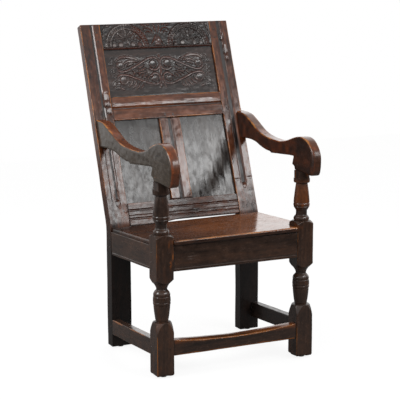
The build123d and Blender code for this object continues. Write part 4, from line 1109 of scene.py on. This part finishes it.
# ---------- glides
def foot_glides():
    """Nailed glide under each foot: a domed pad, with a pale painted reflection along its bottom."""
    outline = [(0.0, 9.6), (0.5, 10.8), (1.4, 11.6), (4.6, 11.9), (5.8, 11.4), (6.2, 10.6)]
    z, radius = np.array(outline).T[..., None]
    angle = np.linspace(0, 2 * pi, 41)[:-1]
    leg_axis = (STILE_INNER + STILE_OUTER) / 2
    under = ((POST_AXIS, POST_SIZE / 2 - 6), (leg_axis, BACK_FACE_Y + 17))
    points, faces = [], []
    for k, (x, y) in enumerate((side * x, y) for side in SIDES for x, y in under):
        oval = 1 + 0.02 * np.sin(3 * angle + k)
        rings = np.broadcast_arrays(x + radius * np.cos(angle) * oval, y + radius * np.sin(angle), z)
        ring_points, ring_faces = loft(np.stack(rings, -1))
        faces += [[index + len(ring_points) * k for index in face] for face in ring_faces]
        points.append(ring_points)
    make_piece("foot_glides_worn", np.vstack(points), faces, "foot_glides", "glide_nylon", "glide")


# ---------- stage, light and camera
def paper(name, grey, seen_glow=0.0, mirrored_glow=0.0):
    """Matt paper, whose glow is only for what sees it and lights nothing."""
    material = bpy.data.materials.new(name)
    g = Graph(material)
    seen, mirrored = g.seen_and_mirrored()
    matt = g.node("BsdfDiffuse", {"Color": (grey, grey, grey, 1)})[0]
    glow = g.node("Emission", {"Strength": g.total((seen, seen_glow), (mirrored, mirrored_glow))})[0]
    g.node("OutputMaterial", {"Surface": g.node("AddShader", {0: matt, 1: glow})[0]})
    return material


def sheet(name, near, far, height, material):
    """Level sheet on the stage, 24 m wide."""
    mesh = bpy.data.meshes.new(name)
    mesh.from_pydata([(-12, near, height), (12, near, height), (12, far, height), (-12, far, height)], [],
                     [(0, 1, 2, 3)])
    obj = add_object(name, mesh)
    mesh.materials.append(material)
    return obj


def studio():
    """White paper floor and surround, dim in front, with a soft window high on the right."""
    sheet("floor", -1.6, 4, 0, paper("floor_paper", 0.17, 0.87, 0.03))
    sheet("front_floor", -9.0, -1.6, -0.01, paper("dark_room", 0.07)).visible_camera = False
    world = bpy.data.worlds.new("studio")
    bpy.context.scene.world = world
    g = Graph(world)
    across, deep, high = g.node("SeparateXYZ", {0: g.node("TexCoord")["Generated"]})
    front = g.span(high, 0.05, 0.45, 0.12, 1.0)
    behind = g.math("SUBTRACT", g.span(across, -0.9, 0.5, 0.45, 1.45), front)
    light = g.math("ADD", front, g.math("MULTIPLY", g.span(deep, -0.25, 0.45), behind))
    light = g.math("MULTIPLY", light, g.span(high, 0.55, 0.9, 1.0, 0.35))
    seen = g.seen_and_mirrored()[0]
    light = g.math("ADD", light, g.math("MULTIPLY", seen, g.math("SUBTRACT", 1.0, light)))
    background = g.node("Background", {"Color": (1, 1, 1, 1), "Strength": light})[0]
    g.node("OutputWorld", {"Surface": background})
    window_light("window", (1.05, -1.70, 1.70), (0.1, 0.45, 0.6), 1.7, 0.38, 18.5)
    window_light("side_window", (-2.07, -0.2, 1.62), (0.0, 0.5, 0.8), 0.8, 1.0, 26.0)


def window_light(name, place, target, width, height, power):
    data = bpy.data.lights.new(name, "AREA")
    data.shape = "RECTANGLE"
    data.size, data.size_y = width, height
    data.energy = power
    obj = add_object(name, data)
    obj.location = place
    obj.visible_camera = False
    obj.rotation_mode = "QUATERNION"
    obj.rotation_quaternion = (Vector(target) - Vector(place)).to_track_quat("-Z", "Y")


def camera():
    """Camera in front of the chair's left side, at the place and with the lens that a fit to it gave."""
    yaw, pitch, roll = radians(25.58), radians(-10.68), radians(-0.18)
    data = bpy.data.cameras.new("camera")
    data.sensor_width, data.lens = 36.0, 126.76
    obj = add_object("camera", data)
    place = Matrix.Translation(to_scene((-1966.3, -3839.4, 1357.6)))
    aim = Matrix.Rotation(-yaw, 4, "Z") @ Matrix.Rotation(pi / 2 + pitch, 4, "X")
    obj.matrix_world = place @ aim @ Matrix.Rotation(roll, 4, "Z")
    bpy.context.scene.camera = obj


for side in SIDES:
    back_stile(side)
    front_post(side)
    arm(side)
middle_back_rail()
lower_back_rail()
back_muntin()
front_seat_rail()
for side in SIDES:
    side_rail_and_stretcher(side)
back_seat_rail()
front_stretcher()
seat_board()
for side in SIDES:
    lower_panel(side)
upper_panel()
crest()
foot_glides()
# The pegs stay as the frame has them, in the oak of what they hold.
for node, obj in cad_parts.items():
    if node.endswith("_pegs"):
        obj.data.materials.clear()
        obj.data.materials.append(materials["frame"])
studio()
camera()
bpy.context.scene.view_settings.view_transform = "Standard"
